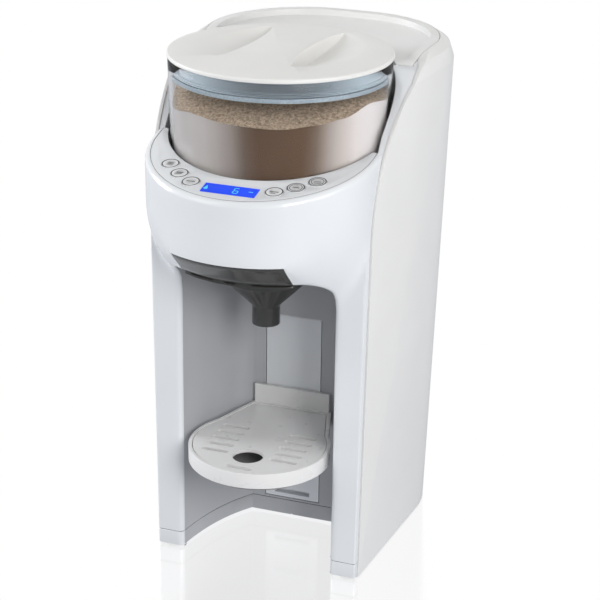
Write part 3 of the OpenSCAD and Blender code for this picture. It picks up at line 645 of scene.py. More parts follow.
def mouth_rounding(x, z):
    """How far back the skin turns near the bay's mouth: round noses below, a finer edge above."""
    right, up = abs(x) - (BAY_HALF - BAY_CORNER), z - (BAY_TOP - BAY_CORNER)
    if right > 0 and up > 0:
        away = math.hypot(right, up) - BAY_CORNER
        share = math.atan2(up, right) / (math.pi / 2)
    else:
        away = max(right, up) - BAY_CORNER
        share = 1.0 if up > right else 0.0
    radius = blend(size("nose_r"), size("lintel_r"), ease(share))
    inner = clamp01(1 - away / radius)
    return radius * (1 - math.sqrt(1 - inner * inner))


def skin_point(column, z, mouth, inset=0.0):
    """A point of the outer skin; columns count from the middle, the mouth's edge is MOUTH_STEPS."""
    edge = run_at_x(mouth, z)
    rear = run_at_y(cheek_y(z))
    count = abs(column)
    beyond = count - MOUTH_STEPS
    if beyond <= 0:
        run = edge * count / MOUTH_STEPS
    elif beyond <= EDGE_STEPS:
        run = edge + (size("nose_r") + 1) * (1 - math.cos(math.pi / 2 * beyond / EDGE_STEPS))
    else:
        run = blend(edge + size("nose_r") + 1, rear, (beyond - EDGE_STEPS) / (SIDE_STEPS - EDGE_STEPS))
    x, y = plan_point(math.copysign(run, column), z, inset)
    return x, sweep_y(x, y, z) + mouth_rounding(x, z), z


def top_point(column, share, inset=0.0, drop=0.0):
    """A point of the face above the mouth; share 1 is the panel's plane."""
    z = PANEL_Z
    for _ in range(8):
        x, y, _ = skin_point(column, z, PLATE_HALF, inset)
        z = blend(FACE_LOW, panel_height(y) - drop, share)
    return x, y, z


def front_skin(name, rows):
    """The outer skin over these mouth rows, with the face and its rounded lip above."""
    reach = MOUTH_STEPS + SIDE_STEPS
    lip = size("lip_r")
    face = [(k / FACE_ROWS, 0.0, lip) for k in range(1, FACE_ROWS + 1)]
    for k in range(1, LIP_ROWS + 1):
        angle = math.pi / 2 * k / LIP_ROWS
        face.append((1.0, lip * (1 - math.cos(angle)), lip * (1 - math.sin(angle))))
    face += [(1.0, lip + 0.2, 0.0), (1.0, lip + 0.3, LIP_TURN)]

    def place(column, row):
        column -= reach
        if row < len(rows):
            z, mouth = rows[row]
            return skin_point(column, z, mouth)
        share, inset, drop = face[row - len(rows)]
        return top_point(column, share, inset, drop)

    piece = loft(name, 2 * reach + 1, len(rows) + len(face), place)
    columns = 2 * reach + 1
    mesh = bmesh.new()
    mesh.from_mesh(piece.data)
    mesh.verts.ensure_lookup_table()
    shut = []
    for polygon in mesh.faces:
        places = [divmod(vertex.index, columns) for vertex in polygon.verts]
        if all(row < len(rows) and abs(column - reach) <= MOUTH_STEPS for row, column in places):
            shut.append(polygon)
    bmesh.ops.delete(mesh, geom=shut, context="FACES")
    mesh.to_mesh(piece.data)
    mesh.free()
    return piece


def bay_back_y(x):
    """The bay wall's depth where the bay is this wide."""
    if x <= BAY_BACK_HALF:
        return AXIS_Y + BAY_BACK
    share = (-12 + math.sqrt(144 + 70 * max(BAY_HALF - x, 0))) / 35
    return AXIS_Y + bezier([(-46, 0), (6, 0), (BAY_BACK, 0)], share)[0]


def bay_outline():
    """Half widths along the bay's wall from the mouth to the middle of its back."""
    widths = [mouth for z, mouth in mouth_rows()[len(LOW_ROWS):len(LOW_ROWS) + CORNER_STEPS + 1]]
    return widths + [41.5, BAY_BACK_HALF, 25.3, 12.0, 0.0]


def ceiling_z(x):
    over = x - (BAY_HALF - BAY_CORNER)
    if x <= PLATE_HALF:
        return BAY_TOP
    return BAY_TOP - BAY_CORNER + math.sqrt(max(BAY_CORNER ** 2 - over ** 2, 0))


def bay_wall(name, rows):
    """The bay's upright walls, from one mouth edge round the back to the other."""
    half = [(BAY_HALF, None)] + [(x, bay_back_y(x)) for x in bay_outline()]
    outline = [(-x, y) for x, y in half] + [(x, y) for x, y in reversed(half[:-1])]
    extra = [k / 4 for k in range(1, 5)]

    def place(column, row):
        x, y = outline[column]
        if row < len(rows):
            z = rows[row]
        else:
            z = blend(BAY_TOP - BAY_CORNER, ceiling_z(abs(x)), extra[row - len(rows)])
        if y is None:
            y = skin_point(MOUTH_STEPS, z, BAY_HALF)[1]
        return x, y, z

    return loft(name, len(outline), len(rows) + len(extra), place)


def bay_ceiling(name):
    """The bay's ceiling with its rounded corners, back from the mouth."""
    half = bay_outline()
    widths = [-x for x in half] + list(reversed(half[:-1]))
    heights = {round(mouth, 4): z for z, mouth in mouth_rows()[len(LOW_ROWS):]
               if z <= BAY_TOP}

    def place(column, row):
        x = widths[column]
        z = heights.get(round(abs(x), 4), BAY_TOP)
        front = skin_point(MOUTH_STEPS, z, max(abs(x), 0.01))[1]
        return x, blend(front, bay_back_y(abs(x)), row / 4), z

    return loft(name, len(widths), 5, place)


def cut_faces(piece, test):
    """Deletes the faces whose centre, in millimetres, meets the test."""
    mesh = bmesh.new()
    mesh.from_mesh(piece.data)
    gone = [f for f in mesh.faces if test(f.calc_center_median() / MM)]
    bmesh.ops.delete(mesh, geom=gone, context="FACES")
    mesh.to_mesh(piece.data)
    mesh.free()


def make_front_housing():
    rows = mouth_rows()
    low = LOW_ROWS + [BAY_TOP - BAY_CORNER]
    skin = front_skin("skin", rows)
    wall = bay_wall("wall", low)
    ceiling = bay_ceiling("ceiling")
    # The bay's walls and ceiling take the darker white of the painted shade inside the bay
    for piece, key in ((skin, "front_white"), (wall, "bay_white"), (ceiling, "bay_white")):
        piece.data.materials.append(finish(key))
    shell = join("front_housing", [skin, wall, ceiling])
    tidy_mesh(shell, 0.05)
    cut_faces(shell, lambda c: abs(c.x) < 25.3 and c.y > AXIS_Y + 38 and 17.7 < c.z < RACK_TOP)
    thick = shell.modifiers.new("wall", "SOLIDIFY")
    thick.thickness = size("shell_wall") * MM
    thick.offset = -1
    thick.use_even_offset = True
    apply_modifiers(shell)
    smooth(shell, 32)
    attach(shell, "housing")
    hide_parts("front_shell")


def make_panel_seam():
    """Fine dark line where the control panel sits in the housing's lip: painted shade of the gap."""
    reach = MOUTH_STEPS + SIDE_STEPS

    def place(column, row):
        near = size("lip_r") + 0.25
        far = near + size("seam")
        inset, drop = ((near, 0.0), (far, 0.0), (far, -0.05), (near, -0.05), (near, 0.0))[row]
        return top_point(column - reach, 1.0, inset, drop)

    line = loft("panel_seam", 2 * reach + 1, 5, place)
    cap_ends(line)
    add(line, "housing", finish("seam_grey"))


def make_base_band():
    """Band along the floor below the front housing, with the pan behind it."""
    heights = [2.0, 2.4, 3.4, 14.9, 15.3]
    inset = [1.4, 0.5, 0.0, 0.0, 0.4]
    reach = MOUTH_STEPS + SIDE_STEPS
    half = [(BAY_HALF, None)] + [(x, bay_back_y(x)) for x in bay_outline()]
    half = [p for k, p in enumerate(half) if k == 0 or p[0] < half[k - 1][0] - 0.01 or k == 1]
    outside = [MOUTH_STEPS + k for k in range(SIDE_STEPS + 1)]

    def outer(column, row):
        x, y, _ = skin_point(outside[column], heights[row], BAY_HALF, inset[row])
        return x, max(y, AXIS_Y + COLUMN_Y + inset[row]), heights[row]

    def inner(column, row):
        x, y = half[column]
        if y is None:
            y = outer(0, row)[1]
        return x + (inset[row] if column < 2 else inset[row] * 0.7), y, heights[row]

    # A dark strip just behind the gap at the band's top: painted shade in the seam
    def seam(column, row, place):
        x, y, z = place(column, 3)
        return x, y, 15.1 + 1.0 * row

    pieces, seams = [], []
    for side in (1, -1):
        for name, count, place in (("outer", len(outside), outer), ("inner", len(half), inner)):
            def mirrored(column, row, place=place, side=side):
                x, y, z = place(column, row)
                return side * x, y, z

            def mirrored_seam(column, row, place=place, side=side):
                x, y, z = seam(column, row, place)
                return side * x, y, z

            piece = loft(name, count, len(heights), mirrored)
            # The band's inner faces inside the bay take the same painted shade
            piece.data.materials.append(finish("front_white" if name == "outer" else "bay_white"))
            pieces.append(piece)
            seams.append(loft(name + "_seam", count, 2, mirrored_seam))
    line = join("base_seam", seams)
    tidy_mesh(line, 0.05)
    hollow = line.modifiers.new("wall", "SOLIDIFY")
    hollow.thickness = 1.0 * MM
    hollow.offset = -1.7
    apply_modifiers(line)
    add(line, "housing", finish("seam_grey"))
    band = join("base_band", pieces)
    tidy_mesh(band, 0.05)
    thick = band.modifiers.new("wall", "SOLIDIFY")
    thick.thickness = 2.0 * MM
    thick.offset = -1
    apply_modifiers(band)
    smooth(band, 32)
    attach(band, "housing")
    pan = node_copy("base_pan", "base_inner")
    pick(pan)
    bpy.ops.object.mode_set(mode="EDIT")
    bpy.ops.mesh.select_all(action="SELECT")
    bpy.ops.mesh.remove_doubles(threshold=0.005 * MM)
    bpy.ops.transform.shrink_fatten(value=-0.6 * MM)
    bpy.ops.object.mode_set(mode="OBJECT")
    add(pan, "housing", finish("front_white"))


# ---------------------------------------------------------------- stage


CAMERA_AT = (529.3, -1449.65, 816.5)
CAMERA_YAW, CAMERA_PITCH, CAMERA_ROLL = 19.84, 21.54, 0.8
CAMERA_LENS = 117.8


def make_camera():
    deselect_all()
    bpy.ops.object.camera_add()
    camera = bpy.context.object
    camera.name = "photo_camera"
    yaw, pitch, roll = (math.radians(v) for v in (CAMERA_YAW, CAMERA_PITCH, CAMERA_ROLL))
    forward = Vector((-math.sin(yaw) * math.cos(pitch), math.cos(yaw) * math.cos(pitch), -math.sin(pitch)))
    right = Vector((math.cos(yaw), math.sin(yaw), 0))
    up = right.cross(forward)
    turned_right = math.cos(roll) * right + math.sin(roll) * up
    turned_up = -math.sin(roll) * right + math.cos(roll) * up
    camera.matrix_world = Matrix((
        (turned_right.x, turned_up.x, -forward.x, CAMERA_AT[0] * MM),
        (turned_right.y, turned_up.y, -forward.y, CAMERA_AT[1] * MM),
        (turned_right.z, turned_up.z, -forward.z, CAMERA_AT[2] * MM),
        (0, 0, 0, 1)))
    camera.data.lens = CAMERA_LENS
    camera.data.sensor_width = 36
    camera.data.clip_start = 0.05
    bpy.context.scene.camera = camera
    return camera


def area_lamp(name, place, aim, size, power, colour=(1, 1, 1)):
    deselect_all()
    bpy.ops.object.light_add(type="AREA", location=[v * MM for v in place])
    lamp = bpy.context.object
    lamp.name = name
    lamp.data.shape = "RECTANGLE"
    lamp.data.size, lamp.data.size_y = size[0] * MM, size[1] * MM
    lamp.data.energy = power
    lamp.data.color = colour
    direction = Vector(aim) - Vector(place)
    lamp.rotation_euler = direction.to_track_quat("-Z", "Y").to_euler()
    return lamp


def floor_material():
    """Glossy white table that fades into the white behind it."""
    material, nodes, links, shader = new_material("floor_white")
    nodes.remove(shader)
    mirror = nodes.new("ShaderNodeBsdfGlossy")
    mirror.inputs["Color"].default_value = (1, 1, 1, 1)
    mirror.inputs["Roughness"].default_value = 0.12
    white = nodes.new("ShaderNodeEmission")
    white.inputs["Color"].default_value = (1, 1, 1, 1)
    white.inputs["Strength"].default_value = 1.0
    mix = nodes.new("ShaderNodeMixShader")
    mix.inputs["Fac"].default_value = 0.76
    links.new(mirror.outputs["BSDF"], mix.inputs[1])
    links.new(white.outputs["Emission"], mix.inputs[2])
    plain = nodes.new("ShaderNodeMixShader")
    path = nodes.new("ShaderNodeLightPath")
    links.new(path.outputs["Is Camera Ray"], plain.inputs["Fac"])
    dim = nodes.new("ShaderNodeEmission")
    dim.inputs["Color"].default_value = (0.93, 0.95, 1, 1)
    dim.inputs["Strength"].default_value = 0.67
    links.new(dim.outputs["Emission"], plain.inputs[1])
    links.new(mix.outputs["Shader"], plain.inputs[2])
    links.new(plain.outputs["Shader"], nodes["Material Output"].inputs["Surface"])
    return material


def make_world():
    """White for the camera, softer grey-blue for the light that falls on the machine."""
    world = bpy.context.scene.world or bpy.data.worlds.new("studio")
    bpy.context.scene.world = world
    world.use_nodes = True
    nodes, links = world.node_tree.nodes, world.node_tree.links
    back = nodes["Background"]
    path = nodes.new("ShaderNodeLightPath")
    seen = nodes.new("ShaderNodeMath")
    seen.operation = "MAXIMUM"
    links.new(path.outputs["Is Camera Ray"], seen.inputs[0])
    links.new(path.outputs["Is Glossy Ray"], seen.inputs[1])
    mix = nodes.new("ShaderNodeMix")
    mix.data_type = "FLOAT"
    links.new(seen.outputs["Value"], mix.inputs["Factor"])
    mix.inputs["A"].default_value = 0.25
    mix.inputs["B"].default_value = 1.0
    links.new(mix.outputs["Result"], back.inputs["Strength"])
    back.inputs["Color"].default_value = (1, 1, 1, 1)


def make_stage():
    deselect_all()
    bpy.ops.mesh.primitive_plane_add(size=8)
    floor = bpy.context.object
    floor.name = "floor"
    floor.data.materials.append(floor_material())
    make_world()
    lamps = [
        area_lamp("side_left", (-1500, -150, 700), (0, 0, 220), (700, 900), 17, (0.97, 0.985, 1)),
        area_lamp("front_right", (1200, -1300, 900), (0, -60, 220), (600, 900), 16.5, (1, 0.99, 0.98)),
        area_lamp("side_right", (1300, -500, 700), (40, 0, 220), (500, 900), 3.8),
        area_lamp("front_left", (-900, -1100, 1300), (0, -60, 220), (700, 900), 3.4),
        area_lamp("top", (0, 300, 1500), (0, 0, 400), (900, 900), 2.6),
    ]
    make_camera()
    bpy.context.scene.view_settings.view_transform = "Standard"


# ---------------------------------------------------------------- hopper, lid and powder

RING_LOW, RING_HIGH = (tuple(v / MM for v in corner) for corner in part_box("lid_ring"))
RING_R = (RING_HIGH[0] - RING_LOW[0]) / 2
DECK_Z = HOPPER_LOW[2]


def hopper_radius(z):
    """The hopper's outer radius: a slight taper, then nearly upright towards the rim."""
    foot, rim = 86.0, HOPPER_R - 0.7
    return foot + (rim - foot) * clamp01((z - DECK_Z) / (HOPPER_HIGH[2] - DECK_Z)) ** 0.75


def lens_edges(side):
    """Inner and outer edges of a finger hollow, as Bezier points seen from above."""
    if side < 0:
        inner = [(-39, -36), (-29, -12), (-25, 44), (-34.5, 72)]
        outer = [(-39, -36), (-84, -36), (-80, 38), (-34.5, 72)]
    else:
        inner = [(25, -44), (14, -14), (15, 44), (28, 74.5)]
        outer = [(25, -44), (62, -38), (88, 44), (28, 74.5)]
    return [[Vector((x, y, 0)) for x, y in edge] for edge in (inner, outer)]


def grip_cutter(side):
    """Solid that scoops one finger hollow: steep at the bar in the middle, a bowl on the other side."""
    inner, outer = lens_edges(side)
    shares = [0.0, 0.02, 0.05, 0.12, 0.2, 0.3, 0.4, 0.5, 0.6, 0.7, 0.8, 0.9, 1.0]
    deep = size("hollow_deep")

    def depth(share, along):
        ends = math.sin(math.pi * along) ** 0.7
        wall = clamp01(share / 0.05)
        return deep * ends * wall * (1 - max(share - 0.05, 0) / 0.95) ** 1.15

    def place(column, row):
        along = column / 40
        a, b = bezier(inner, along), bezier(outer, along)
        if row in (0, len(shares) + 1, len(shares) + 2):
            point = a if row != len(shares) + 1 else b
            return point.x, AXIS_Y + point.y, LID_TOP + 2
        share = shares[row - 1]
        point = a.lerp(b, share)
        return point.x, AXIS_Y + point.y, LID_TOP - depth(share, along)

    cutter = loft("cutter", 41, len(shares) + 3, place)
    tidy_mesh(cutter, 0.02)
    return cutter


def cut_with(piece, cutter):
    pick(piece)
    boolean = piece.modifiers.new("cut", "BOOLEAN")
    boolean.operation = "DIFFERENCE"
    boolean.solver = "EXACT"
    boolean.object = cutter
    bpy.ops.object.modifier_apply(modifier="cut")
    bpy.data.objects.remove(cutter)


def make_lid():
    edge = size("lid_round")
    rim = [(HOPPER_R - edge * (1 - math.cos(a)), LID_TOP - edge * (1 - math.sin(a)))
           for a in (math.radians(v) for v in range(0, 91, 15))]
    low = LID_TOP - size("lid_edge")
    core = RING_R - 5.5
    profile = ([(0, LID_TOP)] + list(reversed(rim))
               + [(HOPPER_R, low + 0.5), (HOPPER_R - 0.5, low), (core, low), (core, LID_TOP - 14.5),
                  (0, LID_TOP - 14.5)])
    lid = turned("lid_moulded", profile, 160)
    for side in (-1, 1):
        cut_with(lid, grip_cutter(side))
    bevel = lid.modifiers.new("soft", "BEVEL")
    bevel.width = 0.2 * MM
    bevel.segments = 2
    bevel.limit_method = "ANGLE"
    bevel.angle_limit = math.radians(42)
    bevel.use_clamp_overlap = True
    apply_modifiers(lid)
    smooth(lid, 30)
    add(lid, "lid", finish("lid_white"))
    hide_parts("lid")


def make_lid_ring():
    """Ring under the lid with fine ribs, and the dark outline of a bayonet slot on it."""
    top, low = RING_HIGH[2], RING_LOW[2]
    outside = [(RING_R, top), (RING_R, low + 4.2), (RING_R - 0.5, low + 3.9), (RING_R - 0.5, low + 3.3),
               (RING_R, low + 3.0), (RING_R, low + 2.0), (RING_R - 0.4, low + 1.7),
               (RING_R - 0.4, low + 1.2), (RING_R, low + 0.9), (RING_R - 0.3, low)]
    ring = turned("lid_ring_moulded", outside + [(RING_R - 3.5, low), (RING_R - 3.5, top)], 160)
    smooth(ring, 30)
    add(ring, "lid", finish("ring_blue"))
    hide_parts("lid_ring")
    marks = []
    for turn in (0, 120, 240):
        base = math.radians(turn - 90)

        def on_ring(angle, z, out):
            a = base + angle
            return (RING_R + out) * math.cos(a), AXIS_Y + (RING_R + out) * math.sin(a), z

        def upright(column, row):
            return on_ring(0.80 + 0.014 * column, blend(top - 5, top, row), 0.12)

        def level(column, row):
            return on_ring(0.64 + 0.174 * column / 8, top - 5 - 0.9 * row, 0.12)

        def pocket(column, row):
            return on_ring(0.62 + 0.03 * column / 2, top - 4.4 - 2.2 * row, 0.14)

        marks += [loft("mark", 2, 2, upright), loft("mark", 9, 2, level), loft("mark", 3, 2, pocket)]
    slot_marks = join("bayonet_marks", marks)
    apply_thickness(slot_marks, 0.1)
    add(slot_marks, "lid", finish("slot_dark"))


def apply_thickness(piece, millimetres):
    thick = piece.modifiers.new("thick", "SOLIDIFY")
    thick.thickness = millimetres * MM
    thick.offset = 0
    apply_modifiers(piece)
    tidy_mesh(piece, 0.001)


def make_hopper():
    rim = HOPPER_HIGH[2]
    heights = [DECK_Z + 2 + (rim - 0.8 - DECK_Z - 2) * k / 10 for k in range(11)]
    outside = [(hopper_radius(DECK_Z) - 1.5, DECK_Z)] + [(hopper_radius(z), z) for z in heights]
    outside += [(hopper_radius(rim) - 0.6, rim), (hopper_radius(rim) - size("hopper_wall") + 0.4, rim)]
    inside = [(hopper_radius(z) - size("hopper_wall"), z) for z in reversed(heights)]
    floor_hole = 24.0
    inside += [(floor_hole, DECK_Z + 2), (floor_hole, DECK_Z)]
    hopper = turned("hopper_clear", outside + inside, 160)
    smooth(hopper, 40)
    add(hopper, "hopper", finish("hopper_clear"))
    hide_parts("hopper")


# The powder stays outside and above the dosing wheel and its arms
STIRRER_TOP = 347.5
STIRRER_CLEAR = 4

# Height of the powder against the wall, by its turn round the hopper in degrees
POWDER_LINE = [(-180, 399), (-142, 391), (-121, 395), (-95, 393), (-70, 392), (-50, 394.5), (-36, 397),
               (-16, 404), (6, 400), (60, 402), (120, 402), (180, 399)]


def powder_height(degrees):
    for (a, low), (b, high) in zip(POWDER_LINE, POWDER_LINE[1:]):
        if a <= degrees <= b:
            return blend(low, high, ease((degrees - a) / (b - a)))
    return POWDER_LINE[0][1]


def lumpy(x, y):
    return (math.sin(0.31 * x + 1.3) * math.sin(0.27 * y + 0.4) + 0.6 * math.sin(0.83 * x - 0.61 * y)
            + 0.4 * math.sin(1.7 * x + 1.1 * y)) * 0.55


def make_powder():
    """Formula powder: a smooth body against the wall, with a loose heap on top."""
    steps = 144
    gap = size("hopper_wall") + 0.5

    def at(column):
        degrees = 360 * column / steps - 180
        return degrees, math.radians(degrees)

    low = DECK_Z + 5

    def wall(column, row):
        degrees, angle = at(column)
        z = blend(low, powder_height(degrees), row / 10)
        radius = hopper_radius(z) - gap
        return radius * math.cos(angle), AXIS_Y + radius * math.sin(angle), z

    body = loft("powder_wall", steps + 1, 11, wall)

    def inner(column, row):
        degrees, angle = at(column)
        foot = hopper_radius(low) - gap
        radius = [foot, foot - 1, foot - 1.5, STIRRER_CLEAR][row]
        z = [low, low, STIRRER_TOP, STIRRER_TOP][row]
        return radius * math.cos(angle), AXIS_Y + radius * math.sin(angle), z

    under = loft("powder_under", steps + 1, 4, inner)

    def heap(column, row):
        degrees, angle = at(column)
        share = row / 26
        edge = powder_height(degrees)
        radius = blend(hopper_radius(edge) - gap, 0.5, share)
        x, y = radius * math.cos(angle), radius * math.sin(angle)
        rise = (1 - (1 - min(share * 2.2, 1)) ** 2) * size("heap")
        return x, AXIS_Y + y, min(edge + rise + lumpy(x, y) * min(share * 12, 1) * 1.6, RING_LOW[2] - 5.5)

    top = loft("powder_heap", steps + 1, 27, heap)
    for piece, key in ((join("powder", [body, under]), "powder_body"), (top, "powder_grains")):
        tidy_mesh(piece, 0.02)
        smooth(piece, 60)
        add(piece, "hopper", finish(key))


# ---------------------------------------------------------------- funnel, panel, tray


def cap_ends(piece):
    """Joins a rolled-up grid along its seam and fills its two open ends."""
    pick(piece)
    bpy.ops.object.mode_set(mode="EDIT")
    bpy.ops.mesh.select_all(action="SELECT")
    bpy.ops.mesh.remove_doubles(threshold=0.01 * MM)
    bpy.ops.mesh.select_all(action="DESELECT")
    bpy.ops.mesh.select_non_manifold()
    bpy.ops.mesh.edge_face_add()
    bpy.ops.object.mode_set(mode="OBJECT")


# Radius and height round the funnel's bowl, cone and spout
FUNNEL_PROFILE = [(11.5, 211), (11.5, 226), (12.4, 228.5), (35, 251), (36, 253), (36, 269.5),
                  (34.2, 269.5), (34.2, 252.6), (10.6, 229), (9.7, 227), (9.7, 211)]
FUNNEL_FORWARD = 28


def make_funnel():
    """Smoked funnel drawer: front plate in the head's slope, flange under the ceiling, cone and spout."""
    half = PLATE_HALF - 0.5

    def front(column, row):
        x = blend(-half, half, column / 24)
        z = blend(BAY_TOP - 1, FACE_LOW - 0.5, (row % 7) / 6)
        y = skin_point(math.copysign(MOUTH_STEPS, x), z, max(abs(x), 0.01))[1]
        return x, y + (0.25 if row < 7 else 3.0), z

    def plate(column, row):
        return front(column, [0, 1, 2, 3, 4, 5, 6, 13, 12, 11, 10, 9, 8, 7, 0][row])

    cover = loft("plate", 25, 15, plate)
    cap_ends(cover)

    def shelf(column, row):
        x, y, _ = front(column, 0)
        rear = AXIS_Y + 12
        return x, (y, rear, rear, y, y)[row], BAY_TOP - (4, 4, 1, 1, 4)[row]

    flange = loft("flange", 25, 5, shelf)
    cap_ends(flange)
    cone = turned("cone", FUNNEL_PROFILE, 96, AXIS_Y - FUNNEL_FORWARD)
    funnel = join("funnel_smoked", [cover, flange, cone])
    tidy_mesh(funnel, 0.005)
    bevel = funnel.modifiers.new("soft", "BEVEL")
    bevel.width = 0.5 * MM
    bevel.segments = 2
    bevel.limit_method = "ANGLE"
    bevel.angle_limit = math.radians(45)
    apply_modifiers(funnel)
    smooth(funnel, 35)
    add(funnel, "funnel", finish("funnel_smoke"))
    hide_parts("funnel")


def on_panel(x, up, above):
    """A place on the control panel, from its middle against the hopper, up the slope and above it."""
    y = AXIS_Y - HOPPER_R + up * math.cos(PANEL_TILT) - above * math.sin(PANEL_TILT)
    return x, y, PANEL_Z + up * math.sin(PANEL_TILT) + above * math.cos(PANEL_TILT)


def flat_mark(outline, above, thick=0.12):
    """A thin printed shape on the panel from its outline in panel coordinates."""
    mesh = bpy.data.meshes.new("mark")
    mesh.from_pydata([Vector(on_panel(x, up, above)) * MM for x, up in outline], [],
                     [list(range(len(outline)))])
    mark = bpy.data.objects.new("mark", mesh)
    bpy.context.scene.collection.objects.link(mark)
    solid = mark.modifiers.new("thick", "SOLIDIFY")
    solid.thickness = thick * MM
    solid.offset = 1
    apply_modifiers(mark)
    return mark


def ring_mark(x, up, radius, width, above, steps=56):
    def place(column, row):
        a = math.tau * column / steps
        r, h = [(radius, 0), (radius, 0.1), (radius - width, 0.1), (radius - width, 0), (radius, 0)][row]
        return on_panel(x + r * math.cos(a), up + r * math.sin(a), above + h)

    ring = loft("ring", steps + 1, 5, place)
    tidy_mesh(ring, 0.001)
    return ring


def box_outline(x, up, width, height):
    return [(x - width / 2, up - height / 2), (x + width / 2, up - height / 2),
            (x + width / 2, up + height / 2), (x - width / 2, up + height / 2)]


BUTTONS = ((-37.4, 9.8), (-27.4, 13.6), (-18.4, 17.7), (18.4, 17.7), (27.4, 13.6), (37.4, 9.8))
BUTTON_TOP = 0.5
LCD_UP = HOPPER_R - 107.3
DROP_R = 1.7


def button_place(turn, out):
    """A button's place on the panel from its turn round the hopper and its distance outside it."""
    angle, reach = math.radians(turn), HOPPER_R + out
    return reach * math.sin(angle), HOPPER_R - reach * math.cos(angle)


def make_buttons():
    """Six round caps with printed rings and small plain marks."""
    for number, (turn, out) in enumerate(BUTTONS, 1):
        x, up = button_place(turn, out)
        profile = [(0.01, BUTTON_TOP), (4.0, BUTTON_TOP), (6.2, BUTTON_TOP - 0.06), (6.8, BUTTON_TOP - 0.2),
                   (size("button_r"), BUTTON_TOP - 0.55), (size("button_r"), -1.9), (0.01, -1.9)]

        def place(column, row, x=x, up=up, profile=profile):
            a = math.tau * column / 56
            r, h = profile[row]
            return on_panel(x + r * math.cos(a), up + r * math.sin(a), h)

        cap = loft("cap", 57, len(profile), place)
        tidy_mesh(cap, 0.03)
        smooth(cap, 40)
        cap.name = cap.data.name = "button_cap_%d" % number
        add(cap, "button_%d" % number, finish("button_white"))
        rings = [ring_mark(x, up, 7.0, size("print_line"), BUTTON_TOP - 0.08)]
        if number > 4:
            rings.append(ring_mark(x, up, 5.2, 0.6, BUTTON_TOP - 0.04))
        marks = []
        for share, width in {1: ((0.9, 5.4), (-0.9, 4.4)), 2: ((0.9, 5.6), (-0.9, 4.4)), 3: ((0, 6.8),),
                             4: ((0, 7.2), (-2.1, 3.4)), 5: ((0, 5.2),), 6: ((0, 5.2),)}[number]:
            marks.append(flat_mark(box_outline(x, up + share, width, 0.75), BUTTON_TOP - 0.02, 0.08))
        printed = join("button_print_%d" % number, rings + marks)
        add(printed, "button_%d" % number, finish("print_grey"))


SEGMENTS = {"a": (0, 2, 1), "b": (1, 1, 0), "c": (1, -1, 0), "d": (0, -2, 1), "e": (-1, -1, 0),
            "f": (-1, 1, 0), "g": (0, 0, 1)}


def make_display():
    """Backlit window with one plain digit and a drop."""
    outline = box_outline(0, LCD_UP, 43.9, 13.4)
    glass = flat_mark(outline, -1.4, 1.5)
    glass.name = glass.data.name = "display_glass"
    add(glass, "housing", finish("display_blue"))
    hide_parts("display_lens")
    marks = []
    for name in "acdefg":
        dx, du, lying = SEGMENTS[name]
        wide, tall = (3.2, 0.7) if lying else (0.7, 3.0)
        marks.append(flat_mark(box_outline(5.2 + dx * 1.9, LCD_UP - 0.2 + du * 1.85, wide, tall), 0.11, 0.06))
    marks.append(flat_mark(box_outline(17.0, LCD_UP + 0.6, 3.6, 0.7), 0.11, 0.06))
    drop = []
    for k in range(20):
        a = math.tau * k / 20
        above = max(math.sin(a), 0)
        pinch = 1 - 0.55 * above ** 1.5
        up = LCD_UP - 1.2 + DROP_R * math.sin(a) + 2.6 * above ** 3
        drop.append((-19.2 + DROP_R * math.cos(a) * pinch, up))
    marks.append(flat_mark(drop, 0.11, 0.06))
    shown = join("display_marks", marks)
    add(shown, "housing", finish("display_cyan"))


# The tray's bowl that takes the painted shade: its middle before the hopper's axis, its radius and its depth
TRAY_FORWARD, BOWL_R, BOWL_DEEP = 41, 57.3, 11


def make_tray():
    """Tray with a rounded edge; its bowl lies in the grille's shade, which is painted on as a grey finish."""
    tray = soft_copy("drip_tray", size("tray_round"), segments=4, angle=30)
    add(tray, "drip_tray", finish("tray_white"))
    # Faces of the bowl under the grille get a second, grey finish: painted shade
    tray.data.materials.append(finish("bowl_grey"))
    hub_y = AXIS_Y - TRAY_FORWARD
    for face in tray.data.polygons:
        x, y, z = face.center / MM
        if math.hypot(x, y - hub_y) < BOWL_R and GRILLE_LOW - BOWL_DEEP < z < GRILLE_LOW - 0.2:
            face.material_index = 1


# Covers whose edges are rounded, each by this share of the size in the sidebar
SOFT_NODES = {"left_shell": 1.0, "right_shell": 1.0, "hopper_collar": 0.89, "tank_lid": 0.89,
              "rear_cover": 0.67, "control_panel": 0.28, "tray_rack": 0.39}


def make_covers():
    for node, share in SOFT_NODES.items():
        piece = soft_copy(node, share * size("cover_round"))
        slot = CAD_SLOTS[node]
        add(piece, "housing" if node != "tank_lid" else "tank_lid", finish(slot))


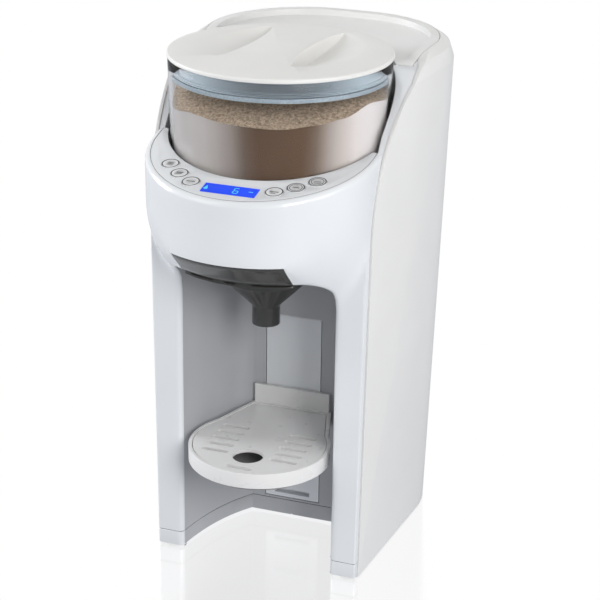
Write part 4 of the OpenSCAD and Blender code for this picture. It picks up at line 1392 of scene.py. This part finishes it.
CAD_SLOTS = {
    "base_pan": "front_white", "front_shell": "front_white", "hopper_collar": "front_white",
    "control_panel": "front_white", "tray_rack": "front_white", "left_shell": "side_white",
    "right_shell": "side_white", "rear_cover": "side_white", "tank_lid": "side_white", "lid": "lid_white",
    "dosing_wheel": "lid_white", "stirrer": "lid_white", "drip_tray": "tray_white",
    "drip_grille": "tray_white", "hopper": "hopper_clear", "lid_ring": "ring_blue",
    "funnel": "funnel_smoke", "water_tank": "tank_clear", "pump_tube": "tube_clear",
    "heater_tube": "tube_clear", "inner_frame": "inner_grey", "hopper_deck": "inner_grey",
    "dose_scraper": "inner_grey", "drive_gear": "inner_grey", "powder_chute": "inner_grey",
    "valve_seat": "inner_grey", "water_nozzle": "inner_grey", "feet": "foot_rubber",
    "lid_seal": "foot_rubber", "tank_valve": "foot_rubber", "display_lens": "display_blue",
    "display_module": "black_plastic", "pump_rotor": "black_plastic", "power_inlet": "black_plastic",
    "button_board": "circuit_green", "main_board": "circuit_green", "drive_shaft": "steel",
    "gear_motor": "steel", "water_pump": "steel", "heater": "steel", "screws": "steel",
    "motor_pinion": "brass", "button_1": "button_white", "button_2": "button_white",
    "button_3": "button_white", "button_4": "button_white", "button_5": "button_white",
    "button_6": "button_white",
}


def finish_cad():
    for node, piece in frame["nodes"].items():
        piece.data.materials.clear()
        piece.data.materials.append(finish("seal_grey" if node == "lid_seal" else CAD_SLOTS[node]))


INNER_COLOURS = {
    "seal_grey": (0.30, 0.36, 0.40),
    "tank_clear": (0.85, 0.92, 0.97),
    "tube_clear": (0.9, 0.92, 0.93),
    "inner_grey": (0.55, 0.55, 0.56),
    "foot_rubber": (0.09, 0.09, 0.1),
    "black_plastic": (0.03, 0.03, 0.033),
    "steel": (0.62, 0.62, 0.63),
    "brass": (0.66, 0.5, 0.24),
}
FINISHES = {}


def finish(key):
    """The finish of this name, made when it is first asked for."""
    if key not in FINISHES:
        colour = getattr(bpy.context.scene.formula_colours, key, None)
        colour = tuple(colour) if colour else INNER_COLOURS.get(key)
        FINISHES[key] = {
            "front_white": lambda: moulded_plastic(key, colour, 0.22, 0.5, 0.05),
            "bay_white": lambda: moulded_plastic(key, colour, 0.4, 0.0, 0.03),
            "side_white": lambda: moulded_plastic(key, colour, 0.34, 0.15, 0.1),
            "lid_white": lambda: moulded_plastic(key, colour, 0.36, 0.1, 0.1),
            "tray_white": lambda: moulded_plastic(key, colour, 0.3, 0.2, 0.08),
            "button_white": lambda: moulded_plastic(key, colour, 0.3, 0.2, 0.05),
            "hopper_clear": lambda: clear_plastic(key, colour, 0.03, ior=1.14),
            "ring_blue": lambda: tinted_ring(key, colour),
            "seal_grey": lambda: rubber(key, colour),
            "funnel_smoke": lambda: clear_plastic(key, colour, 0.12, 0.35, 0.93),
            "tank_clear": lambda: clear_plastic(key, colour, 0.05, 0.9),
            "tube_clear": lambda: clear_plastic(key, colour, 0.2, 0.7),
            "inner_grey": lambda: moulded_plastic(key, colour, 0.45),
            "foot_rubber": lambda: rubber(key, colour),
            "display_blue": lambda: lit_display(key, colour, 0.85),
            "display_cyan": lambda: lit_display(key, colour, 0.9),
            "bowl_grey": lambda: moulded_plastic(key, colour, 0.5),
            "seam_grey": lambda: moulded_plastic(key, colour, 0.6),
            "black_plastic": lambda: moulded_plastic(key, colour, 0.4),
            "circuit_green": lambda: circuit_board(key),
            "steel": lambda: metal(key, colour, 0.3),
            "brass": lambda: metal(key, colour, 0.3),
            "powder_body": lambda: powder_body(key, colour),
            "powder_grains": lambda: powder_grains(key, colour),
            "print_grey": lambda: moulded_plastic(key, colour, 0.6),
            "slot_dark": lambda: moulded_plastic(key, colour, 0.5),
        }[key]()
    return FINISHES[key]


class FORMULA_OT_finishes(bpy.types.Operator):
    """Gives every part of the frame its finish."""

    bl_idname = "formula.finishes"
    bl_label = "Finishes of the frame"

    def execute(self, context):
        finish_cad()
        return {"FINISHED"}


class FORMULA_OT_front_housing(bpy.types.Operator):
    """Front housing with its head, columns and bottle bay."""

    bl_idname = "formula.front_housing"
    bl_label = "Front housing"

    def execute(self, context):
        make_front_housing()
        return {"FINISHED"}


class FORMULA_OT_panel_seam(bpy.types.Operator):
    """Fine line round the control panel."""

    bl_idname = "formula.panel_seam"
    bl_label = "Panel seam"

    def execute(self, context):
        make_panel_seam()
        return {"FINISHED"}


class FORMULA_OT_base_band(bpy.types.Operator):
    """Band along the floor with its seam and the pan inside."""

    bl_idname = "formula.base_band"
    bl_label = "Base band"

    def execute(self, context):
        make_base_band()
        return {"FINISHED"}


class FORMULA_OT_covers(bpy.types.Operator):
    """Side shells, collar, tank lid, rear cover, panel and rack with rounded edges."""

    bl_idname = "formula.covers"
    bl_label = "Covers"

    def execute(self, context):
        make_covers()
        return {"FINISHED"}


class FORMULA_OT_lid(bpy.types.Operator):
    """Lid with its two finger hollows."""

    bl_idname = "formula.lid"
    bl_label = "Lid"

    def execute(self, context):
        make_lid()
        return {"FINISHED"}


class FORMULA_OT_lid_ring(bpy.types.Operator):
    """Tinted ring under the lid with its bayonet marks."""

    bl_idname = "formula.lid_ring"
    bl_label = "Lid ring"

    def execute(self, context):
        make_lid_ring()
        return {"FINISHED"}


class FORMULA_OT_hopper(bpy.types.Operator):
    """Clear powder hopper."""

    bl_idname = "formula.hopper"
    bl_label = "Hopper"

    def execute(self, context):
        make_hopper()
        return {"FINISHED"}


class FORMULA_OT_powder(bpy.types.Operator):
    """Formula powder inside the hopper."""

    bl_idname = "formula.powder"
    bl_label = "Powder"

    def execute(self, context):
        make_powder()
        return {"FINISHED"}


class FORMULA_OT_funnel(bpy.types.Operator):
    """Smoked funnel drawer."""

    bl_idname = "formula.funnel"
    bl_label = "Funnel"

    def execute(self, context):
        make_funnel()
        return {"FINISHED"}


class FORMULA_OT_buttons(bpy.types.Operator):
    """Six button caps with their printed rings."""

    bl_idname = "formula.buttons"
    bl_label = "Buttons"

    def execute(self, context):
        make_buttons()
        return {"FINISHED"}


class FORMULA_OT_display(bpy.types.Operator):
    """Backlit display with one plain digit."""

    bl_idname = "formula.display"
    bl_label = "Display"

    def execute(self, context):
        make_display()
        return {"FINISHED"}


class FORMULA_OT_tray(bpy.types.Operator):
    """Drip tray with its shaded bowl."""

    bl_idname = "formula.tray"
    bl_label = "Drip tray"

    def execute(self, context):
        make_tray()
        return {"FINISHED"}


class FORMULA_OT_stage(bpy.types.Operator):
    """Floor, world, lamps and camera."""

    bl_idname = "formula.stage"
    bl_label = "Stage"

    def execute(self, context):
        make_stage()
        return {"FINISHED"}


OPERATORS = (
    FORMULA_OT_finishes,
    FORMULA_OT_front_housing,
    FORMULA_OT_panel_seam,
    FORMULA_OT_base_band,
    FORMULA_OT_covers,
    FORMULA_OT_lid,
    FORMULA_OT_lid_ring,
    FORMULA_OT_hopper,
    FORMULA_OT_powder,
    FORMULA_OT_funnel,
    FORMULA_OT_buttons,
    FORMULA_OT_display,
    FORMULA_OT_tray,
    FORMULA_OT_stage,
)


class FORMULA_PT_sidebar(bpy.types.Panel):
    """Sizes, colours and building steps of the formula maker."""

    bl_label = "Baby Formula Maker"
    bl_space_type = "VIEW_3D"
    bl_region_type = "UI"
    bl_category = "Formula Maker"

    def draw(self, context):
        scene = context.scene
        for title, group in (("Sizes", scene.formula_sizes), ("Colours", scene.formula_colours)):
            box = self.layout.box()
            box.label(text=title)
            for name in group.__annotations__:
                box.prop(group, name)
        for operator in OPERATORS:
            self.layout.operator(operator.bl_idname)


CLASSES = (FormulaSizes, FormulaColours, *OPERATORS, FORMULA_PT_sidebar)


def register():
    for cls in CLASSES:
        bpy.utils.register_class(cls)
    bpy.types.Scene.formula_sizes = bpy.props.PointerProperty(type=FormulaSizes)
    bpy.types.Scene.formula_colours = bpy.props.PointerProperty(type=FormulaColours)


def unregister():
    del bpy.types.Scene.formula_colours
    del bpy.types.Scene.formula_sizes
    for cls in reversed(CLASSES):
        bpy.utils.unregister_class(cls)


def main():
    register()
    bpy.ops.formula.finishes()
    bpy.ops.formula.front_housing()
    bpy.ops.formula.panel_seam()
    bpy.ops.formula.base_band()
    bpy.ops.formula.covers()
    bpy.ops.formula.lid()
    bpy.ops.formula.lid_ring()
    bpy.ops.formula.hopper()
    bpy.ops.formula.powder()
    bpy.ops.formula.funnel()
    bpy.ops.formula.buttons()
    bpy.ops.formula.display()
    bpy.ops.formula.tray()
    bpy.ops.formula.stage()


if __name__ == "__main__":
    main()
